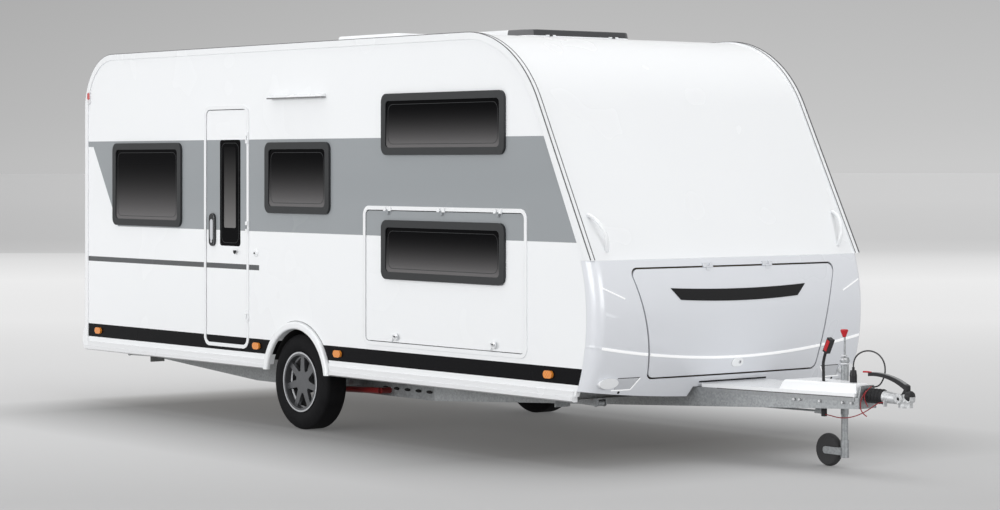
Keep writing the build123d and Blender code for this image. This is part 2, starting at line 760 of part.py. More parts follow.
# Roof hatches: curbs, a dark skylight and a white ventilator lid
skylight_rise, vent_rise = 62, 108
lid_wall = 10
lid_taper = 12
for name, (place, x_size, y_size), rise in (("skylight_lid", roof_holes[0], skylight_rise),
                                            ("vent_lid", roof_holes[1], vent_rise)):
    with BuildPart() as lid:
        with BuildSketch(Plane.XY.offset(roof_z + hatch_curb + seat_gap)):
            with Locations((along(place), 0)):
                RectangleRounded(x_size, y_size, roof_hole_corner + hatch_flange)
        extrude(amount=rise - hatch_curb, taper=lid_taper)
        fillet(lid.edges().group_by(Axis.Z)[-1], lid_wall)
        with BuildSketch(Plane.XY.offset(roof_z + hatch_curb + seat_gap)):
            with Locations((along(place), 0)):
                RectangleRounded(x_size - 2 * lid_wall, y_size - 2 * lid_wall,
                                 roof_hole_corner + hatch_flange - lid_wall)
        extrude(amount=rise - hatch_curb - lid_wall, taper=lid_taper, mode=Mode.SUBTRACT)
        for sign in (-1, 1):
            place_x = along(place) + x_size / 2 + lid_hinge_out
            add(knuckles((place_x, sign * lid_hinge_share * y_size, roof_z + hatch_curb), (-1, 0, 0),
                         (0, 0, -1), roof_hinge_reach, (-hinge_radius, -2 * seat_gap), moving=True))
    finish(lid, name)

# Refrigerator grilles and the service hatch on the left side
slat_count = 6
slat_share = 0.45
grille_proud = 10
with BuildPart() as fridge_grilles:
    for height_share in (grille_low_share, grille_high_share):
        with BuildSketch(side_plane(left, -grille_proud)):
            with Locations((along(grille_share), roof_z * height_share)):
                Rectangle(grille_width, grille_height)
                with GridLocations(0, grille_height / (slat_count + 1), 1, slat_count):
                    SlotOverall(grille_width * 0.86, grille_height / (slat_count + 1) * slat_share,
                                mode=Mode.SUBTRACT)
        extrude(amount=-2 * grille_proud)
finish(fridge_grilles, "fridge_grilles")

with BuildPart() as service_hatch:
    with BuildSketch(side_plane(left)):
        with Locations((service_x, service_z)):
            RectangleRounded(service_width - 2 * panel_gap, service_height - 2 * panel_gap,
                             service_corner - panel_gap)
    extrude(amount=wall)
    for share in service_hinge_shares:
        place = (service_x + (share - 0.5) * service_width, service_hinge_y, service_hinge_z)
        add(knuckles(place, (0, 0, -1), (0, -1, 0), hinge_reach, (-hinge_pin, hinge_pin),
                     (panel_gap, service_hinge_stand), moving=True))
finish(service_hatch, "service_hatch")

# Rear bumper with its lamps
bumper_low_z, bumper_top_z = 400, 560
with BuildPart() as rear_bumper:
    with BuildSketch(Plane.XZ):
        with BuildLine():
            Polyline((rear_x, bumper_low_z), (rear_x, bumper_top_z))
            Line((rear_x, bumper_top_z), (rear_x - bumper_depth * 0.55, bumper_top_z))
            ThreePointArc((rear_x - bumper_depth * 0.55, bumper_top_z),
                          (rear_x - bumper_depth, (bumper_top_z + bumper_low_z) / 2),
                          (rear_x - bumper_depth * 0.55, bumper_low_z))
            Line((rear_x - bumper_depth * 0.55, bumper_low_z), (rear_x, bumper_low_z))
        make_face()
    extrude(amount=half_width, both=True)
    add(corner_rails.part, mode=Mode.SUBTRACT)
finish(rear_bumper, "rear_bumper")

with BuildPart() as rear_lamps:
    with BuildSketch(Plane.YZ.offset(rear_x)):
        for sign in (-1, 1):
            with Locations((sign * half_width * lamp_y_share, bumper_top_z + seat_gap + lamp_height / 2)):
                RectangleRounded(lamp_width, lamp_height, lamp_width * 0.35)
    extrude(amount=-lamp_proud)
    fillet(rear_lamps.edges().group_by(Axis.X)[0], lamp_proud * 0.4)
finish(rear_lamps, "rear_lamps")

# Amber side markers, set on the dark stripe, and the front position lamps
marker_shares = (0.0316, 0.3986, 0.5638, 0.9357)
marker_width, marker_height, marker_depth = 84, 48, 16
marker_z = 550
with BuildPart() as side_markers:
    for side in (right, left):
        with BuildSketch(side_plane(side)):
            for share in marker_shares:
                with Locations((along(share), marker_z)):
                    SlotOverall(marker_width, marker_height)
        extrude(amount=side * marker_depth)
finish(side_markers, "side_markers")

front_lamp_inset, front_lamp_rise = 126, 117
front_lamp_y = half_width - front_lamp_inset
front_lamp_z = skirt_z + front_lamp_rise
front_lamp_width, front_lamp_height, front_lamp_depth = 137, 66, 22
with BuildPart() as front_lamps:
    for sign in (-1, 1):
        with BuildSketch(Plane.YZ.offset(seam_x)):
            with Locations((sign * front_lamp_y, front_lamp_z)):
                Ellipse(front_lamp_width / 2, front_lamp_height / 2)
        extrude(amount=nose_return, both=True)
    add(bowed_slab(-front_lamp_depth, wall / 2, half_width, 0, seam_z, skirt_z), mode=Mode.INTERSECT)
    add(nose_shell.part, mode=Mode.SUBTRACT)
finish(front_lamps, "front_lamps")

# Grab handles on the sloped front and on the rear wall
grab_thickness = 24
grab_bow = 62
grab_top_inset, grab_low_inset = 96, 153
grab_top_y, grab_low_y = half_width - grab_top_inset, half_width - grab_low_inset
grab_top_z, grab_low_z = 1520, 1305
with BuildPart() as grab_handles:
    for sign in (-1, 1):
        top = (slope_x(grab_top_z), sign * grab_top_y, grab_top_z)
        low = (slope_x(grab_low_z), sign * grab_low_y, grab_low_z)
        mid = ((top[0] + low[0]) / 2 + grab_bow * cos(slope), (top[1] + low[1]) / 2,
               (top[2] + low[2]) / 2 + grab_bow * sin(slope))
        with BuildLine() as bow:
            ThreePointArc(top, mid, low)
        with BuildSketch(Plane(origin=top, z_dir=bow.line % 0)):
            Circle(grab_thickness / 2)
        sweep(path=bow.line)
    add(front_panel.part, mode=Mode.SUBTRACT)
finish(grab_handles, "grab_handles")

# Drip moulding above the door side window
drip_share = 0.4846
drip_length, drip_depth, drip_height, drip_z = 662, 46, 30, 2278
with BuildPart() as awning_lamp:
    with BuildSketch(Plane.YZ.offset(along(drip_share) - drip_length / 2)):
        with BuildLine():
            Polyline((-half_width, drip_z), (-half_width - drip_depth, drip_z),
                     (-half_width - drip_depth, drip_z + drip_height * 0.3),
                     (-half_width, drip_z + drip_height),
                     close=True)
        make_face()
    extrude(amount=drip_length)
finish(awning_lamp, "awning_lamp")

# Axle: a hexagonal torsion tube across the chassis
channel = 5
axle_lead, axle_rise = 165, 26
axle_x = wheel_x + axle_lead
axle_z = wheel_radius + axle_rise
axle_half = 46
arm_inset = 200
arm_y = wheel_y - arm_inset
arm_thickness = 34
arm_radius = 48
plate_radius = 116
plate_thickness = 8
with BuildPart() as axle_tube:
    with BuildSketch(Plane.XZ):
        with Locations((axle_x, axle_z)):
            RegularPolygon(axle_half, 6, rotation=30)
            RegularPolygon(axle_half - channel, 6, rotation=30, mode=Mode.SUBTRACT)
    extrude(amount=arm_y - arm_thickness / 2, both=True)
finish(axle_tube, "axle_tube")

# Chassis: galvanised side rails, deepest at the axle, with cross members
channel_flange = 40
rail_top_z = deck_z
rail_rear_low_z = 345
rail_start = 170
rail_taper_share = 0.42
cross_flange = 50
cross_inset = 90
cross_reach = half_width - cross_inset
cross_low_z = 400
steady_z = 372
steady_inset = 270
steady_y = half_width - steady_inset
steady_half = 24
steady_pin_r = 6
lug_thickness = 6
lug_half = 22
rail_start_x = rear_x + rail_start
front_cross_x = floor_front_x - 2 * cross_flange
rear_cross_x = rail_start_x + cross_flange
steady_front_x = front_cross_x + cross_flange / 2
steady_rear_x = rear_cross_x + cross_flange / 2


def cross_section(place):
    """Upright channel of a cross member, standing at a place along X."""
    with BuildSketch(Plane(origin=(place, cross_reach, cross_low_z), x_dir=(1, 0, 0),
                           z_dir=(0, -1, 0))) as drawn:
        Rectangle(cross_flange, rail_top_z - cross_low_z, align=(Align.MIN, Align.MIN))
        with Locations((channel, channel)):
            Rectangle(cross_flange, rail_top_z - cross_low_z - 2 * channel,
                      align=(Align.MIN, Align.MIN), mode=Mode.SUBTRACT)
    return drawn.sketch


def steady_lugs(place, side):
    """Two lugs and a pin that carry a corner steady."""
    with BuildPart() as lugs:
        for shift in (steady_half + pivot_gap, -steady_half - pivot_gap - lug_thickness):
            with BuildSketch(Plane.XZ.offset(side * steady_y + shift)):
                with Locations((place, steady_z)):
                    Circle(lug_half)
                    Rectangle(2 * lug_half, cross_low_z - steady_z, align=(Align.CENTER, Align.MIN))
            extrude(amount=lug_thickness)
        with BuildSketch(Plane.XZ.offset(side * steady_y - steady_half - pivot_gap)):
            with Locations((place, steady_z)):
                Circle(steady_pin_r)
        extrude(amount=2 * (steady_half + pivot_gap))
    return lugs.part


with BuildPart() as chassis_frame:
    taper_x = rail_start_x + rail_taper_share * (joint_x - rail_start_x)
    for side in (right, left):
        with BuildSketch(Plane.XZ.offset(side * rail_y)):
            with BuildLine():
                Polyline((rail_start_x, rail_rear_low_z), (rail_start_x, rail_top_z), (joint_x, rail_top_z),
                         (joint_x, beam_rear_low_z), (taper_x, beam_rear_low_z), close=True)
            make_face()
        extrude(amount=-side * channel_flange)
        with BuildSketch(Plane.XZ.offset(side * (rail_y - channel))):
            with BuildLine():
                Polyline((rail_start_x - overrun, rail_rear_low_z + channel),
                         (rail_start_x - overrun, rail_top_z - channel),
                         (joint_x + overrun, rail_top_z - channel),
                         (joint_x + overrun, beam_rear_low_z + channel),
                         (taper_x, beam_rear_low_z + channel),
                         (rail_start_x, rail_rear_low_z + channel), close=True)
            make_face()
        extrude(amount=-side * channel_flange, mode=Mode.SUBTRACT)
    for place in (rear_cross_x, joint_x - cross_flange):
        extrude(cross_section(place), amount=2 * cross_reach)
    for side in (right, left):
        add(steady_lugs(steady_rear_x, side))
    with BuildSketch(Plane.XZ.offset(-half_width)):
        with Locations((axle_x, axle_z)):
            RegularPolygon(axle_half, 6, rotation=30)
    extrude(amount=body_width, mode=Mode.SUBTRACT)
finish(chassis_frame, "chassis_frame")

# A-frame drawbar: two channel beams that taper towards the coupling, with the front outriggers
nose_plate_top_z = 528
nose_plate_thickness = 10
shaft_z = 470
shaft_radius = 31
with BuildPart() as drawbar:
    extrude(cross_section(front_cross_x), amount=2 * cross_reach)
    with BuildSketch(Plane.XY.offset(cross_low_z - overrun)):
        cover_plan(front_cross_x - overrun, floor_front_x + overrun, 0)
    extrude(amount=3 * overrun, mode=Mode.SUBTRACT)
    for side in (right, left):
        web = Plane(origin=(joint_x, -side * rail_y, 0), x_dir=(beam_cos, side * beam_sin, 0),
                    z_dir=(side * beam_sin, -beam_cos, 0))
        with BuildSketch(web):
            with BuildLine():
                Polyline((-overrun, beam_rear_low_z), (-overrun, beam_top_z),
                         (beam_length + overrun, beam_top_z),
                         (beam_length + overrun, beam_front_low_z), (beam_length, beam_front_low_z),
                         (0, beam_rear_low_z), close=True)
            make_face()
        extrude(amount=-side * channel_flange)
        with BuildSketch(web.offset(-side * channel)):
            with BuildLine():
                Polyline((-2 * overrun, beam_rear_low_z + channel), (-2 * overrun, beam_top_z - channel),
                         (beam_length + 2 * overrun, beam_top_z - channel),
                         (beam_length + 2 * overrun, beam_front_low_z + channel),
                         (beam_length, beam_front_low_z + channel),
                         (0, beam_rear_low_z + channel), close=True)
            make_face()
        extrude(amount=-side * channel_flange, mode=Mode.SUBTRACT)
        add(steady_lugs(steady_front_x, side))
    for place in (joint_x - 2 * overrun, beam_front_x):
        with BuildSketch(Plane.YZ.offset(place)):
            Rectangle(2 * body_width, 2 * body_width)
        extrude(amount=2 * overrun, mode=Mode.SUBTRACT)
    with BuildSketch(Plane.YZ.offset(beam_front_x)):
        with BuildLine():
            Polyline((-beam_front_y, beam_front_low_z), (-beam_front_y, beam_top_z),
                     (-beam_front_y * 0.75, nose_plate_top_z), (beam_front_y * 0.75, nose_plate_top_z),
                     (beam_front_y, beam_top_z), (beam_front_y, beam_front_low_z), close=True)
        make_face()
        with Locations((0, shaft_z)):
            Circle(shaft_radius + seat_gap, mode=Mode.SUBTRACT)
    extrude(amount=nose_plate_thickness)
finish(drawbar, "drawbar")

# White moulded cover over the A-frame
cover_lead, cover_front_setback = 61, 22
cover_rear_x, cover_front_x = seam_x + cover_lead, beam_front_x - cover_front_setback
cover_box_run = 540
cover_box_x = cover_front_x - cover_box_run
cover_skirt = 24
cover_wall = 4
cover_low_top_z, cover_box_top_z = 482, 536
cover_taper = 18
cover_edge = 14
lever_setback = 307
lever_x, lever_y = beam_front_x - lever_setback, -45
lever_slot, lever_slot_width = 70, 30


with BuildPart() as drawbar_cover:
    with BuildSketch(Plane.XY.offset(beam_top_z - cover_skirt)):
        cover_plan(cover_rear_x, cover_front_x, -cover_wall)
    extrude(amount=cover_low_top_z - beam_top_z + cover_skirt)
    with BuildSketch(Plane.XY.offset(cover_low_top_z)):
        cover_plan(cover_box_x, cover_front_x, cover_edge)
    extrude(amount=cover_box_top_z - cover_low_top_z, taper=cover_taper)
    fillet(drawbar_cover.edges().filter_by(Plane.XY).group_by(Axis.Z)[-1], cover_edge)
    with BuildSketch(Plane.XY.offset(beam_top_z - cover_skirt)):
        cover_plan(cover_rear_x - overrun, cover_front_x + overrun, 0)
    extrude(amount=cover_skirt, mode=Mode.SUBTRACT)
    with BuildSketch(Plane.XY.offset(beam_top_z)):
        cover_plan(cover_rear_x - overrun, cover_front_x - cover_wall, cover_wall + channel)
    extrude(amount=cover_low_top_z - beam_top_z - cover_wall, mode=Mode.SUBTRACT)
    with BuildSketch(Plane.XY.offset(cover_low_top_z - cover_wall)):
        cover_plan(cover_box_x + cover_wall, cover_front_x - cover_wall, cover_edge + cover_wall)
    extrude(amount=cover_box_top_z - cover_low_top_z, taper=cover_taper, mode=Mode.SUBTRACT)
    with BuildSketch(Plane.YZ.offset(cover_front_x - cover_wall - overrun)):
        with Locations((0, shaft_z)):
            Circle(shaft_radius + seat_gap)
    extrude(amount=2 * overrun + cover_wall, mode=Mode.SUBTRACT)
    with BuildSketch(Plane.XY.offset(cover_low_top_z)):
        with Locations((lever_x, lever_y)):
            SlotOverall(lever_slot, lever_slot_width)
    extrude(amount=2 * overrun, mode=Mode.SUBTRACT)
finish(drawbar_cover, "drawbar_cover")

# Overrun unit: housing tube, bellows, coupling head and its lever
housing_setback = 472
housing_x = beam_front_x - housing_setback
bellows_setback = 218
bellows_start_x, bellows_end_x = beam_front_x + nose_plate_thickness, half_length - bellows_setback
bellows_folds = 5
bellows_low_r, bellows_high_r = 35, 45
head_neck_setback, ball_setback = 130, 54
head_neck_x = half_length - head_neck_setback
ball_x, ball_radius = half_length - ball_setback, 25
ball_z = shaft_z - 14
head_radius = 44
housing_half = 44
with BuildPart() as overrun_housing:
    with BuildSketch(Plane.YZ.offset(housing_x)):
        with Locations((0, shaft_z)):
            Circle(shaft_radius)
    extrude(amount=head_neck_x - 2 * shaft_radius - housing_x)
    with BuildSketch(Plane.XZ):
        with BuildLine():
            Polyline((housing_x + 2 * housing_half, shaft_z),
                     (housing_x + 2 * housing_half, beam_front_low_z),
                     (cover_front_x - housing_half, beam_front_low_z),
                     (cover_front_x - housing_half, shaft_z),
                     close=True)
        make_face()
    extrude(amount=housing_half / 2, both=True)
finish(overrun_housing, "overrun_housing")

with BuildPart() as bellows:
    fold = (bellows_end_x - bellows_start_x) / bellows_folds
    with BuildSketch(Plane.XZ):
        with BuildLine():
            points = [(bellows_start_x, shaft_z + bellows_low_r)]
            for index in range(bellows_folds):
                points.append((bellows_start_x + (index + 0.5) * fold, shaft_z + bellows_high_r))
                points.append((bellows_start_x + (index + 1) * fold, shaft_z + bellows_low_r))
            Polyline(points + [(bellows_end_x, shaft_z + shaft_radius),
                               (bellows_start_x, shaft_z + shaft_radius)], close=True)
        make_face()
    revolve(axis=Axis((0, 0, shaft_z), (1, 0, 0)))
finish(bellows, "bellows")

neck_radius = 27
cable_tab_setback = 188
cable_tab_x, cable_tab_y, cable_tab_z = half_length - cable_tab_setback, -35, 436
cable_tab_width, cable_tab_height = 24, 36
with BuildPart() as coupling_head:
    with BuildSketch(Plane.YZ.offset(bellows_end_x)):
        with Locations((0, shaft_z)):
            Circle(shaft_radius + channel)
    with BuildSketch(Plane.YZ.offset(head_neck_x)):
        with Locations((0, shaft_z - channel)):
            Ellipse(neck_radius, neck_radius * 1.15)
    loft()
    with BuildSketch(Plane.YZ.offset(head_neck_x)):
        with Locations((0, shaft_z - channel)):
            Ellipse(neck_radius, neck_radius * 1.15)
    extrude(amount=ball_x - head_neck_x)
    with Locations((ball_x, 0, ball_z)):
        Sphere(head_radius)
        Cylinder(head_radius * 0.96, head_radius * 0.85, align=(Align.CENTER, Align.CENTER, Align.MAX))
    with BuildSketch(Plane.XZ):
        with Locations((half_length - head_radius, ball_z + head_radius * 0.3)):
            RectangleRounded(2 * head_radius, head_radius * 0.9, head_radius * 0.3)
    extrude(amount=neck_radius * 0.8, both=True)
    with Locations((ball_x, 0, ball_z)):
        Sphere(ball_radius, mode=Mode.SUBTRACT)
        Cylinder(ball_radius, head_radius * 2, align=(Align.CENTER, Align.CENTER, Align.MAX),
                 mode=Mode.SUBTRACT)
    with BuildSketch(Plane.YZ.offset(cable_tab_x)):
        with Locations((cable_tab_y, cable_tab_z)):
            Rectangle(cable_tab_width, cable_tab_height)
    extrude(amount=plate_thickness)
    with BuildSketch(Plane.YZ.offset(housing_x)):
        with Locations((0, shaft_z)):
            Circle(shaft_radius)
    extrude(amount=head_neck_x - 2 * shaft_radius - housing_x, mode=Mode.SUBTRACT)
finish(coupling_head, "coupling_head")

handle_tip_setback, handle_tail_setback = 32, 340
handle_tip_x, handle_tail_x = half_length - handle_tip_setback, half_length - handle_tail_setback
handle_tip_z, handle_mid_z, handle_tail_z = 545, 598, 606
handle_half, handle_thick = 17, 22
with BuildPart() as coupling_lever:
    with BuildSketch(Plane.XZ):
        with BuildLine():
            ThreePointArc((handle_tip_x, handle_tip_z), ((handle_tip_x + handle_tail_x) / 2, handle_mid_z),
                          (handle_tail_x, handle_tail_z))
            Line((handle_tail_x, handle_tail_z), (handle_tail_x, handle_tail_z - handle_thick))
            ThreePointArc((handle_tail_x, handle_tail_z - handle_thick),
                          ((handle_tip_x + handle_tail_x) / 2, handle_mid_z - handle_thick),
                          (handle_tip_x - handle_thick, handle_tip_z - handle_thick))
            handle_foot_z = ball_z + head_radius * 0.8
            Polyline((handle_tip_x - handle_thick, handle_tip_z - handle_thick),
                     (ball_x - handle_thick, handle_foot_z), (handle_tip_x, handle_foot_z),
                     (handle_tip_x, handle_tip_z))
        make_face()
    extrude(amount=handle_half, both=True)
    add(coupling_head.part, mode=Mode.SUBTRACT)
finish(coupling_lever, "coupling_lever")

# Handbrake lever
lever_radius = 9
lever_low_z, lever_bend_z, lever_top_z = 470, 640, 716
lever_lean = 18
lever_foot_z, lever_foot_half = 326, 13.5
rod_y, rod_plate = 24, 8
grip_radius, grip_length = 15, 78
grip_lean = 40
with BuildPart() as handbrake_lever:
    low = (lever_x, lever_y, lever_low_z)
    bend = (lever_x - lever_lean * 0.3, lever_y, lever_bend_z)
    top = (lever_x + lever_lean, lever_y, lever_top_z)
    with BuildLine() as stem:
        Line(low, bend)
        bow = (bend[0] + top[0]) / 2 - lever_lean * 0.15
        ThreePointArc(bend, (bow, lever_y, (bend[2] + top[2]) / 2), top)
    with BuildSketch(Plane(origin=low, z_dir=(stem.line % 0))):
        Circle(lever_radius)
    sweep(path=stem.line, transition=Transition.ROUND)
    with BuildSketch(Plane(origin=top, z_dir=(grip_lean, 0, grip_length))):
        Circle(grip_radius)
    extrude(amount=grip_length)
    with BuildSketch(Plane.XZ.offset(rod_y + rod_plate + seat_gap)):
        with Locations((lever_x, lever_foot_z)):
            Rectangle(2 * lever_foot_half, lever_low_z + lever_radius - lever_foot_z,
                      align=(Align.CENTER, Align.MIN))
    extrude(amount=lever_radius - lever_y - rod_y - rod_plate - seat_gap)
finish(handbrake_lever, "handbrake_lever")

# Jockey wheel: outer tube clamped to the left beam, sliding leg, swivelling fork and wheel
jockey_setback = 349
jockey_x, jockey_tube_r, jockey_leg_r = beam_front_x - jockey_setback, 24, 20.5
jockey_clamp_gap = 8
jockey_y = beam_half_width(jockey_x) / beam_cos + jockey_clamp_gap + jockey_tube_r
tube_low_z, tube_top_z = 322, 640
leg_low_z, leg_top_z = 74, 452
clamp_half = 30
collar_top_z, crank_top_z = 664, 790
crank_rod_r, crank_grip_r, crank_grip_h = 6, 22, 40
with BuildPart() as jockey_tube:
    with BuildSketch(Plane.XY.offset(tube_low_z)):
        with Locations((jockey_x, jockey_y)):
            Circle(jockey_tube_r)
            Circle(jockey_leg_r + run_fit, mode=Mode.SUBTRACT)
    extrude(amount=tube_top_z - tube_low_z)
    with BuildSketch(Plane.XY.offset(beam_front_low_z + channel)):
        with Locations((jockey_x, jockey_y)):
            Circle(jockey_tube_r + jockey_clamp_gap)
            Rectangle(2 * clamp_half, 2 * jockey_tube_r, align=(Align.CENTER, Align.MAX))
            Circle(jockey_tube_r, mode=Mode.SUBTRACT)
    extrude(amount=beam_top_z - cover_skirt - beam_front_low_z - 2 * channel)
    with BuildSketch(Plane.XY.offset(tube_low_z)):
        cover_plan(joint_x, beam_front_x, 0)
    extrude(amount=half_width, mode=Mode.SUBTRACT)
    with BuildSketch(Plane.XZ.offset(-jockey_y)):
        with BuildLine():
            Polyline((jockey_x, tube_top_z), (jockey_x + jockey_tube_r + jockey_clamp_gap, tube_top_z),
                     (jockey_x + jockey_tube_r, collar_top_z), (jockey_x + crank_rod_r, collar_top_z),
                     (jockey_x + crank_rod_r, crank_top_z),
                     (jockey_x + crank_grip_r, crank_top_z + crank_grip_h),
                     (jockey_x, crank_top_z + crank_grip_h),
                     close=True)
        make_face()
    revolve(axis=Axis((jockey_x, jockey_y, 0), (0, 0, 1)))
finish(jockey_tube, "jockey_tube")

with BuildPart() as jockey_leg:
    with BuildSketch(Plane.XY.offset(leg_low_z)):
        with Locations((jockey_x, jockey_y)):
            Circle(jockey_leg_r)
    extrude(amount=leg_top_z - leg_low_z)
finish(jockey_leg, "jockey_leg")

jockey_trail = 130
jockey_wheel_r, jockey_wheel_width = 100, 50
fork_wall, fork_height = 5, 44
fork_low_z = 62
sleeve_top_z = 168
axle_pin_r = 8
with BuildPart() as jockey_fork:
    with BuildSketch(Plane.XY.offset(fork_low_z)):
        with Locations((jockey_x, jockey_y)):
            Circle(jockey_leg_r + run_fit + fork_wall)
            Circle(jockey_leg_r + run_fit, mode=Mode.SUBTRACT)
    extrude(amount=sleeve_top_z - fork_low_z)
    with BuildSketch(Plane.XY.offset(fork_low_z)):
        with Locations((jockey_x, jockey_y)):
            Circle(jockey_leg_r + run_fit + fork_wall)
    extrude(amount=fork_wall)
    fork_half = jockey_wheel_width / 2 + pivot_gap + fork_wall
    with BuildSketch(Plane.XZ.offset(-jockey_y - fork_half)):
        with BuildLine():
            Polyline((jockey_x, jockey_wheel_r - fork_height / 2),
                     (jockey_x, jockey_wheel_r + fork_height / 2),
                     (jockey_x - jockey_trail, jockey_wheel_r + fork_height / 2),
                     (jockey_x - jockey_trail, jockey_wheel_r - fork_height / 2), close=True)
        make_face()
        with Locations((jockey_x - jockey_trail, jockey_wheel_r)):
            Circle(fork_height / 2)
    extrude(amount=2 * fork_half)
    with BuildSketch(Plane.XZ.offset(-jockey_y - fork_half + fork_wall)):
        with Locations((jockey_x - jockey_trail, jockey_wheel_r)):
            Circle(jockey_wheel_r + pivot_gap)
    extrude(amount=2 * (fork_half - fork_wall), mode=Mode.SUBTRACT)
    with BuildSketch(Plane.XZ.offset(-jockey_y - fork_half)):
        with Locations((jockey_x - jockey_trail, jockey_wheel_r)):
            Circle(axle_pin_r)
    extrude(amount=2 * fork_half)
    with BuildSketch(Plane.XY.offset(fork_low_z + fork_wall)):
        with Locations((jockey_x, jockey_y)):
            Circle(jockey_leg_r + run_fit)
    extrude(amount=sleeve_top_z, mode=Mode.SUBTRACT)
finish(jockey_fork, "jockey_fork")

with BuildPart() as jockey_wheel:
    with BuildSketch(Plane.YZ.offset(jockey_x - jockey_trail)):
        with BuildLine():
            inner_r = axle_pin_r + run_fit
            rim_half = jockey_wheel_width / 2
            shoulder_z = 2 * jockey_wheel_r - rim_half / 2
            Polyline((jockey_y - rim_half, jockey_wheel_r + inner_r), (jockey_y - rim_half, shoulder_z))
            ThreePointArc((jockey_y - rim_half, shoulder_z), (jockey_y, 2 * jockey_wheel_r),
                          (jockey_y + rim_half, shoulder_z))
            Polyline((jockey_y + rim_half, shoulder_z), (jockey_y + rim_half, jockey_wheel_r + inner_r),
                     (jockey_y - rim_half, jockey_wheel_r + inner_r))
        make_face()
    revolve(axis=Axis((jockey_x - jockey_trail, jockey_y, jockey_wheel_r), (0, 1, 0)))
finish(jockey_wheel, "jockey_wheel")

# Road wheels: tyre, alloy rim with seven spokes and brake drum
stub_radius = 22
drum_radius, drum_width = 125, 62
drum_neck = 52
spoke_count = 7
spoke_side_angle = 87
spoke_root, spoke_depth = 58, 26
rim_face_y = wheel_y + rim_width / 2 - 14
shoulder = 34
wheel_axis = Axis((wheel_x, 0, wheel_radius), (0, 1, 0))
drum_y = arm_y + arm_thickness / 2 + plate_thickness + pivot_gap
stub_end_y = rim_face_y - spoke_depth - pivot_gap


def make_tyre(side, name):
    with BuildPart() as tyre:
        with BuildSketch(Plane.YZ.offset(wheel_x)):
            with BuildLine():
                mid = -side * wheel_y
                half = tyre_width / 2
                crown = 2 * wheel_radius
                seat = wheel_radius + rim_radius
                side_z = seat + (crown - seat) * 0.45
                bead_half = rim_width / 2
                for sign in (-1, 1):
                    Line((mid + sign * bead_half, seat), (mid + sign * bead_half, seat + rim_lip))
                    ThreePointArc((mid + sign * bead_half, seat + rim_lip), (mid + sign * half, side_z),
                                  (mid + sign * (half - shoulder * 0.45), crown - shoulder * 0.5))
                    ThreePointArc((mid + sign * (half - shoulder * 0.45), crown - shoulder * 0.5),
                                  (mid + sign * (half - shoulder * 0.75), crown - shoulder * 0.16),
                                  (mid + sign * (half - shoulder * 1.2), crown))
                Line((mid - half + shoulder * 1.2, crown), (mid + half - shoulder * 1.2, crown))
                Line((mid - bead_half, seat), (mid + bead_half, seat))
            make_face()
        revolve(axis=wheel_axis)
    finish(tyre, name)


def make_rim(side, name):
    with BuildPart() as rim:
        with BuildSketch(Plane.YZ.offset(wheel_x)):
            with BuildLine():
                mid = -side * wheel_y
                half = rim_width / 2
                seat = wheel_radius + rim_radius
                lip = seat + rim_lip
                Polyline((mid - half, seat), (mid - half, lip), (mid - half - rim_wall, lip),
                         (mid - half - rim_wall, seat - rim_wall), (mid - half * 0.5, seat - rim_wall),
                         (mid - half * 0.4, seat - 2 * rim_wall), (mid + half * 0.4, seat - 2 * rim_wall),
                         (mid + half * 0.5, seat - rim_wall), (mid + half + rim_wall, seat - rim_wall),
                         (mid + half + rim_wall, lip), (mid + half, lip), (mid + half, seat), close=True)
            make_face()
        revolve(axis=wheel_axis)
        face = Plane.XZ.offset(side * rim_face_y)
        with BuildSketch(face):
            with Locations((wheel_x, wheel_radius)):
                Circle(hub_radius)
                with PolarLocations(0, spoke_count, start_angle=90):
                    Trapezoid(spoke_root, rim_radius - rim_wall * 0.5, spoke_side_angle,
                              align=(Align.CENTER, Align.MIN), rotation=-90)
        extrude(amount=-side * spoke_depth)
        with BuildSketch(face.offset(-side * spoke_depth)):
            with Locations((wheel_x, wheel_radius)):
                Circle(hub_radius)
        extrude(amount=-side * (rim_face_y - spoke_depth - wheel_y))
        for radius, start, width in ((drum_neck, wheel_y, wheel_y - drum_y - drum_width),
                                     (drum_radius, drum_y + drum_width, drum_width)):
            with BuildSketch(Plane.XZ.offset(side * start)):
                with Locations((wheel_x, wheel_radius)):
                    Circle(radius)
            extrude(amount=-side * width)
        with BuildSketch(Plane.XZ.offset(side * (stub_end_y + pivot_gap))):
            with Locations((wheel_x, wheel_radius)):
                Circle(stub_radius + run_fit)
        extrude(amount=-side * stub_end_y, mode=Mode.SUBTRACT)
    finish(rim, name)


for side, name in ((right, "right"), (left, "left")):
    make_tyre(side, "tyre_" + name)
    make_rim(side, "rim_" + name)

# Trailing arms with stub axles and back plates
damper_drop = 62
with BuildPart() as trailing_arms:
    for side in (right, left):
        with BuildSketch(Plane.XZ.offset(side * (arm_y - arm_thickness / 2))):
            with Locations((wheel_x, wheel_radius)):
                Circle(arm_radius)
            with Locations((axle_x, axle_z)):
                Circle(arm_radius)
            with BuildLine():
                Polyline((wheel_x, wheel_radius - arm_radius), (wheel_x, wheel_radius + arm_radius),
                         (axle_x, axle_z + arm_radius), (axle_x, axle_z - arm_radius), close=True)
            make_face()
            with Locations((wheel_x, wheel_radius - (arm_radius + damper_drop) / 2)):
                RectangleRounded(arm_radius, damper_drop + arm_radius * 0.2, arm_radius * 0.3)
        extrude(amount=side * arm_thickness)
        with BuildSketch(Plane.XZ.offset(side * (arm_y + arm_thickness / 2))):
            with Locations((wheel_x, wheel_radius)):
                Circle(plate_radius)
        extrude(amount=side * plate_thickness)
        with BuildSketch(Plane.XZ.offset(side * (arm_y + arm_thickness / 2))):
            with Locations((wheel_x, wheel_radius)):
                Circle(stub_radius)
        extrude(amount=side * (stub_end_y - arm_y - arm_thickness / 2))
finish(trailing_arms, "trailing_arms")

